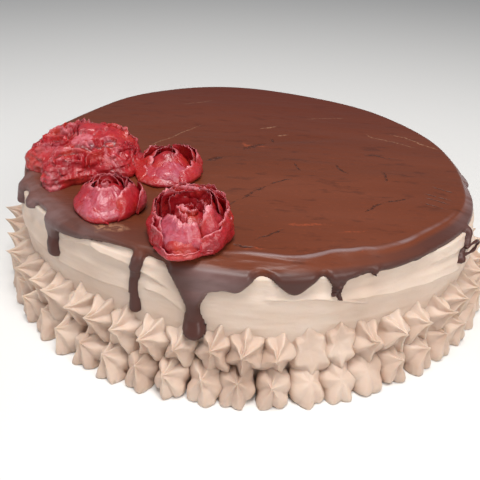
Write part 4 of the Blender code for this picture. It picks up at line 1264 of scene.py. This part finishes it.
def makeCrushedRose():
    # height over an oval = a dome higher at the back + spiral lips at one end + lips running across the front
    # half + upright ragged sheets at the back + creased noise, all but the noise bent by broad noise; the
    # smooth patches keep only the dome, and pits are sunk in
    rose, node = crushedRose, "rose_left"
    rings, columns = rose["rings"], rose["columns"]
    share = (np.linspace(0.0, 1.0, rings + 1)[1:, None]) ** 0.8
    around = roundAngles(columns)[None, :]
    degrees = np.degrees(around)
    outline = 1.0 + sum(size * np.cos(waves * (around - math.radians(phase)))
                        for waves, size, phase in rose["outline"])
    outline = outline + sum(size * hill(degrees, centre, reach)
                            for centre, reach, size in rose["lobes"])
    u, v = share * outline * np.cos(around), share * outline * np.sin(around)
    flat = 0.0 * u

    def creased(setting, seed):
        # noise folded at its middle, so that thin ridges are left
        scaleU, scaleV = setting["scale"]
        return 1.0 - np.abs(2.0 * layeredNoise(u * scaleU, v * scaleV, flat, seed, 2) - 1.0)

    bend = rose["bend"]
    bendU, bendV = (layeredNoise(u * bend["scale"], v * bend["scale"], flat, seed, 3) - 0.5
                    for seed in (301, 302))
    u1, v1 = u + bend["along"] * bendU, v + bend["across"] * bendV
    dome = np.clip(1.0 - share ** 3.4, 0.0, 1.0) ** 0.5
    rise = dome * (0.56 + 0.3 * smoothStep(v1, -0.8, 0.7) - 0.1 * smoothStep(-u1, 0.2, 0.9))
    spiral, strands, sheets = rose["spiral"], rose["strands"], rose["sheets"]
    awayU, awayV = u1 - spiral["centre"][0], v1 - spiral["centre"][1]
    away = np.hypot(awayU, awayV)
    inSpiral = 1.0 - smoothStep(away, *spiral["reach"])
    turns = away / spiral["spacing"] - np.arctan2(awayV, awayU) / (2.0 * np.pi)
    folds = spiral["height"] * lipSteps(turns) * inSpiral
    inFront = smoothStep(-v1, -0.02, 0.22) * (1.0 - 0.85 * inSpiral)
    across = -(v1 + strands["tilt"] * u1) / strands["spacing"]
    folds = folds + strands["height"] * lipSteps(across) * inFront
    inBack = smoothStep(v1 + 0.35 * np.abs(u1), 0.34, 0.6) * (1.0 - 0.7 * inSpiral)
    ragged = 0.55 + 0.6 * layeredNoise(degrees / 16.0 + 0.0 * share, share * 3.0, flat, 305, 2)
    inward = -share * (1.0 + 0.5 * bendU) / sheets["spacing"]
    folds = folds + sheets["height"] * lipSteps(inward) * inBack * ragged
    wrap = rose["wrap"]
    uneven = 0.75 + 0.5 * layeredNoise(degrees / 24.0 + 0.0 * share, flat, flat, 309, 2)
    outer = smoothStep(share, wrap["from"], wrap["from"] + 0.1) * uneven
    inward = (1.0 - share * (1.0 + 0.3 * bendU)) / wrap["spacing"]
    folds = folds * (1.0 - 0.55 * outer) + wrap["height"] * outer * lipSteps(inward)
    smooth = 0.0
    for x, y, width, depth in rose["smooth"]:
        off = np.hypot((u1 - x) / width, (v1 - y) / depth)
        smooth = np.maximum(smooth, 1.0 - smoothStep(off, 0.65, 1.05))
    crease, grain = creased(rose["crease"], 306), creased(rose["grain"], 307)
    rough = 1.0 - smooth
    sunk = sum(depth * np.exp(-((u1 - x) ** 2 + (v1 - y) ** 2) / (0.5 * size ** 2))
               for x, y, size, depth in rose["pits"])
    fade = smoothStep(1.0 - share, 0.0, 0.14)
    relief = rose["foldGain"] * folds + rose["crease"]["height"] * (1.0 - 0.7 * outer) * (crease - 0.5)
    relief = rough * (relief + rose["grain"]["height"] * (grain - 0.5)) + rose["smoothHeight"] * smooth - sunk
    height = rose["height"] * rise + fade * relief
    rolls = rose["rolls"]
    rolled = layeredNoise(u * rolls["scale"], v * rolls["scale"], height * rolls["upright"], 311, 2)
    push = rolls["share"] * (rolled - 0.3) + 0.008 * (grain - 0.5)
    push = 1.0 + push * smoothStep(share, 0.55, 0.9)
    x, y = u * push * rose["half"][0], v * push * rose["half"][1]
    points = np.stack((x, y, np.maximum(height, 0.0) - petalForm["sink"]), -1).reshape(-1, 3) + roseFoot(rose)
    top = points[:columns].mean(axis=0)
    low = roseFoot(rose) - (0.0, 0.0, petalForm["sink"])
    # pale lip tops: painted highlight
    lipTop = smoothStep(folds / 0.002, 0.62, 1.0) * rough
    # painted shade in the valleys between lips and in the sunk pits
    valley = 1.0 - smoothStep(folds / 0.0024, 0.0, 0.16)
    pitShade = np.maximum(np.clip(sunk / 0.0022, 0.0, 1.0) * 0.8, 0.62 * valley * rough)
    # painted mauve sheen in patches near the middle
    mauveSheen = smoothStep(layeredNoise(u * 5.0, v * 7.0, flat, 308, 2), 0.46, 0.62) * rough
    inMiddle = np.exp(-((u1 - 0.12) / 0.5) ** 2 - ((v1 + 0.22) / 0.3) ** 2)
    mauveSheen = np.maximum(mauveSheen, 0.7 * smooth * (u1 < 0.15)) * inMiddle
    shades = {"rim": np.maximum(0.75 * lipTop * crease, 0.8 * mauveSheen), "mauveSheen": mauveSheen, "pitShade": pitShade}
    shades = {key: np.concatenate((np.broadcast_to(values, u.shape).reshape(-1), (0.0, 0.0)))
              for key, values in shades.items()}
    points = np.concatenate((points, top[None], low[None]))
    addPiece(node + "Paste", points, capFaces(rings, columns, 0), pasteFinish, node, shades)


makeCrushedRose()


# Floor, light and camera

studio = {
    "floorSize": 6.0, "floorColour": (0.8, 0.79, 0.77), "worldColour": (0.86, 0.9, 0.96),
    "worldStrength": 0.22,
    # lamps: place, aim, size, power, colour
    "lamps": (
        ((0.02, -0.22, 1.05), (0.0, 0.0, 0.03), 0.55, 9.6, (1.0, 0.985, 0.97)),
        ((0.75, -0.85, 0.75), (0.0, 0.0, 0.03), 0.7, 7.0, (1.0, 0.98, 0.96)),
        ((-0.95, -0.55, 0.55), (0.0, 0.0, 0.04), 0.8, 3.0, (0.95, 0.97, 1.0)),
    ),
}

view = {
    "place": (0.0, -0.32708, 0.19781), "heading": 0.8525, "pitch": -30.66, "roll": 2.0,
    "lens": 45.0, "sensor": 36.0,
}


def makeStudio():
    # the floor, the air's light and the lamps
    half = studio["floorSize"] / 2.0
    mesh = bpy.data.meshes.new("floorSheet")
    corners = [(-half, -half, 0.0), (half, -half, 0.0), (half, half, 0.0), (-half, half, 0.0)]
    mesh.from_pydata(corners, [], [(0, 1, 2, 3)])
    finish = {"Base Color": (*studio["floorColour"], 1.0), "Roughness": 0.75}
    mesh.materials.append(startMaterial("floorFinish", finish)[0])
    floor = addObject("floorSheet", mesh)
    world = bpy.data.worlds.new("studioAir")
    world.use_nodes = True
    back = world.node_tree.nodes["Background"]
    back.inputs["Color"].default_value = (*studio["worldColour"], 1.0)
    back.inputs["Strength"].default_value = studio["worldStrength"]
    bpy.context.scene.world = world
    for index, (place, aim, size, power, colour) in enumerate(studio["lamps"]):
        lamp = bpy.data.lights.new(f"softLamp{index}", "AREA")
        lamp.shape, lamp.size, lamp.energy, lamp.color = "DISK", size, power, colour
        holder = addObject(f"softLamp{index}", lamp)
        holder.location = place
        holder.rotation_euler = (Vector(aim) - Vector(place)).to_track_quat("-Z", "Y").to_euler()


def makeCamera():
    # looks along +Y turned by the heading, tipped by the pitch and rolled about its own axis
    camera = bpy.data.cameras.new("viewCamera")
    camera.lens, camera.sensor_width = view["lens"], view["sensor"]
    holder = addObject("viewCamera", camera)
    holder.matrix_world = (Matrix.Translation(view["place"])
                           @ Matrix.Rotation(math.radians(view["heading"]), 4, "Z")
                           @ Matrix.Rotation(math.radians(90.0 + view["pitch"]), 4, "X")
                           @ Matrix.Rotation(math.radians(view["roll"]), 4, "Z"))
    bpy.context.scene.camera = holder


makeStudio()
makeCamera()
bpy.context.scene.view_settings.view_transform = "Standard"
print("studio made")
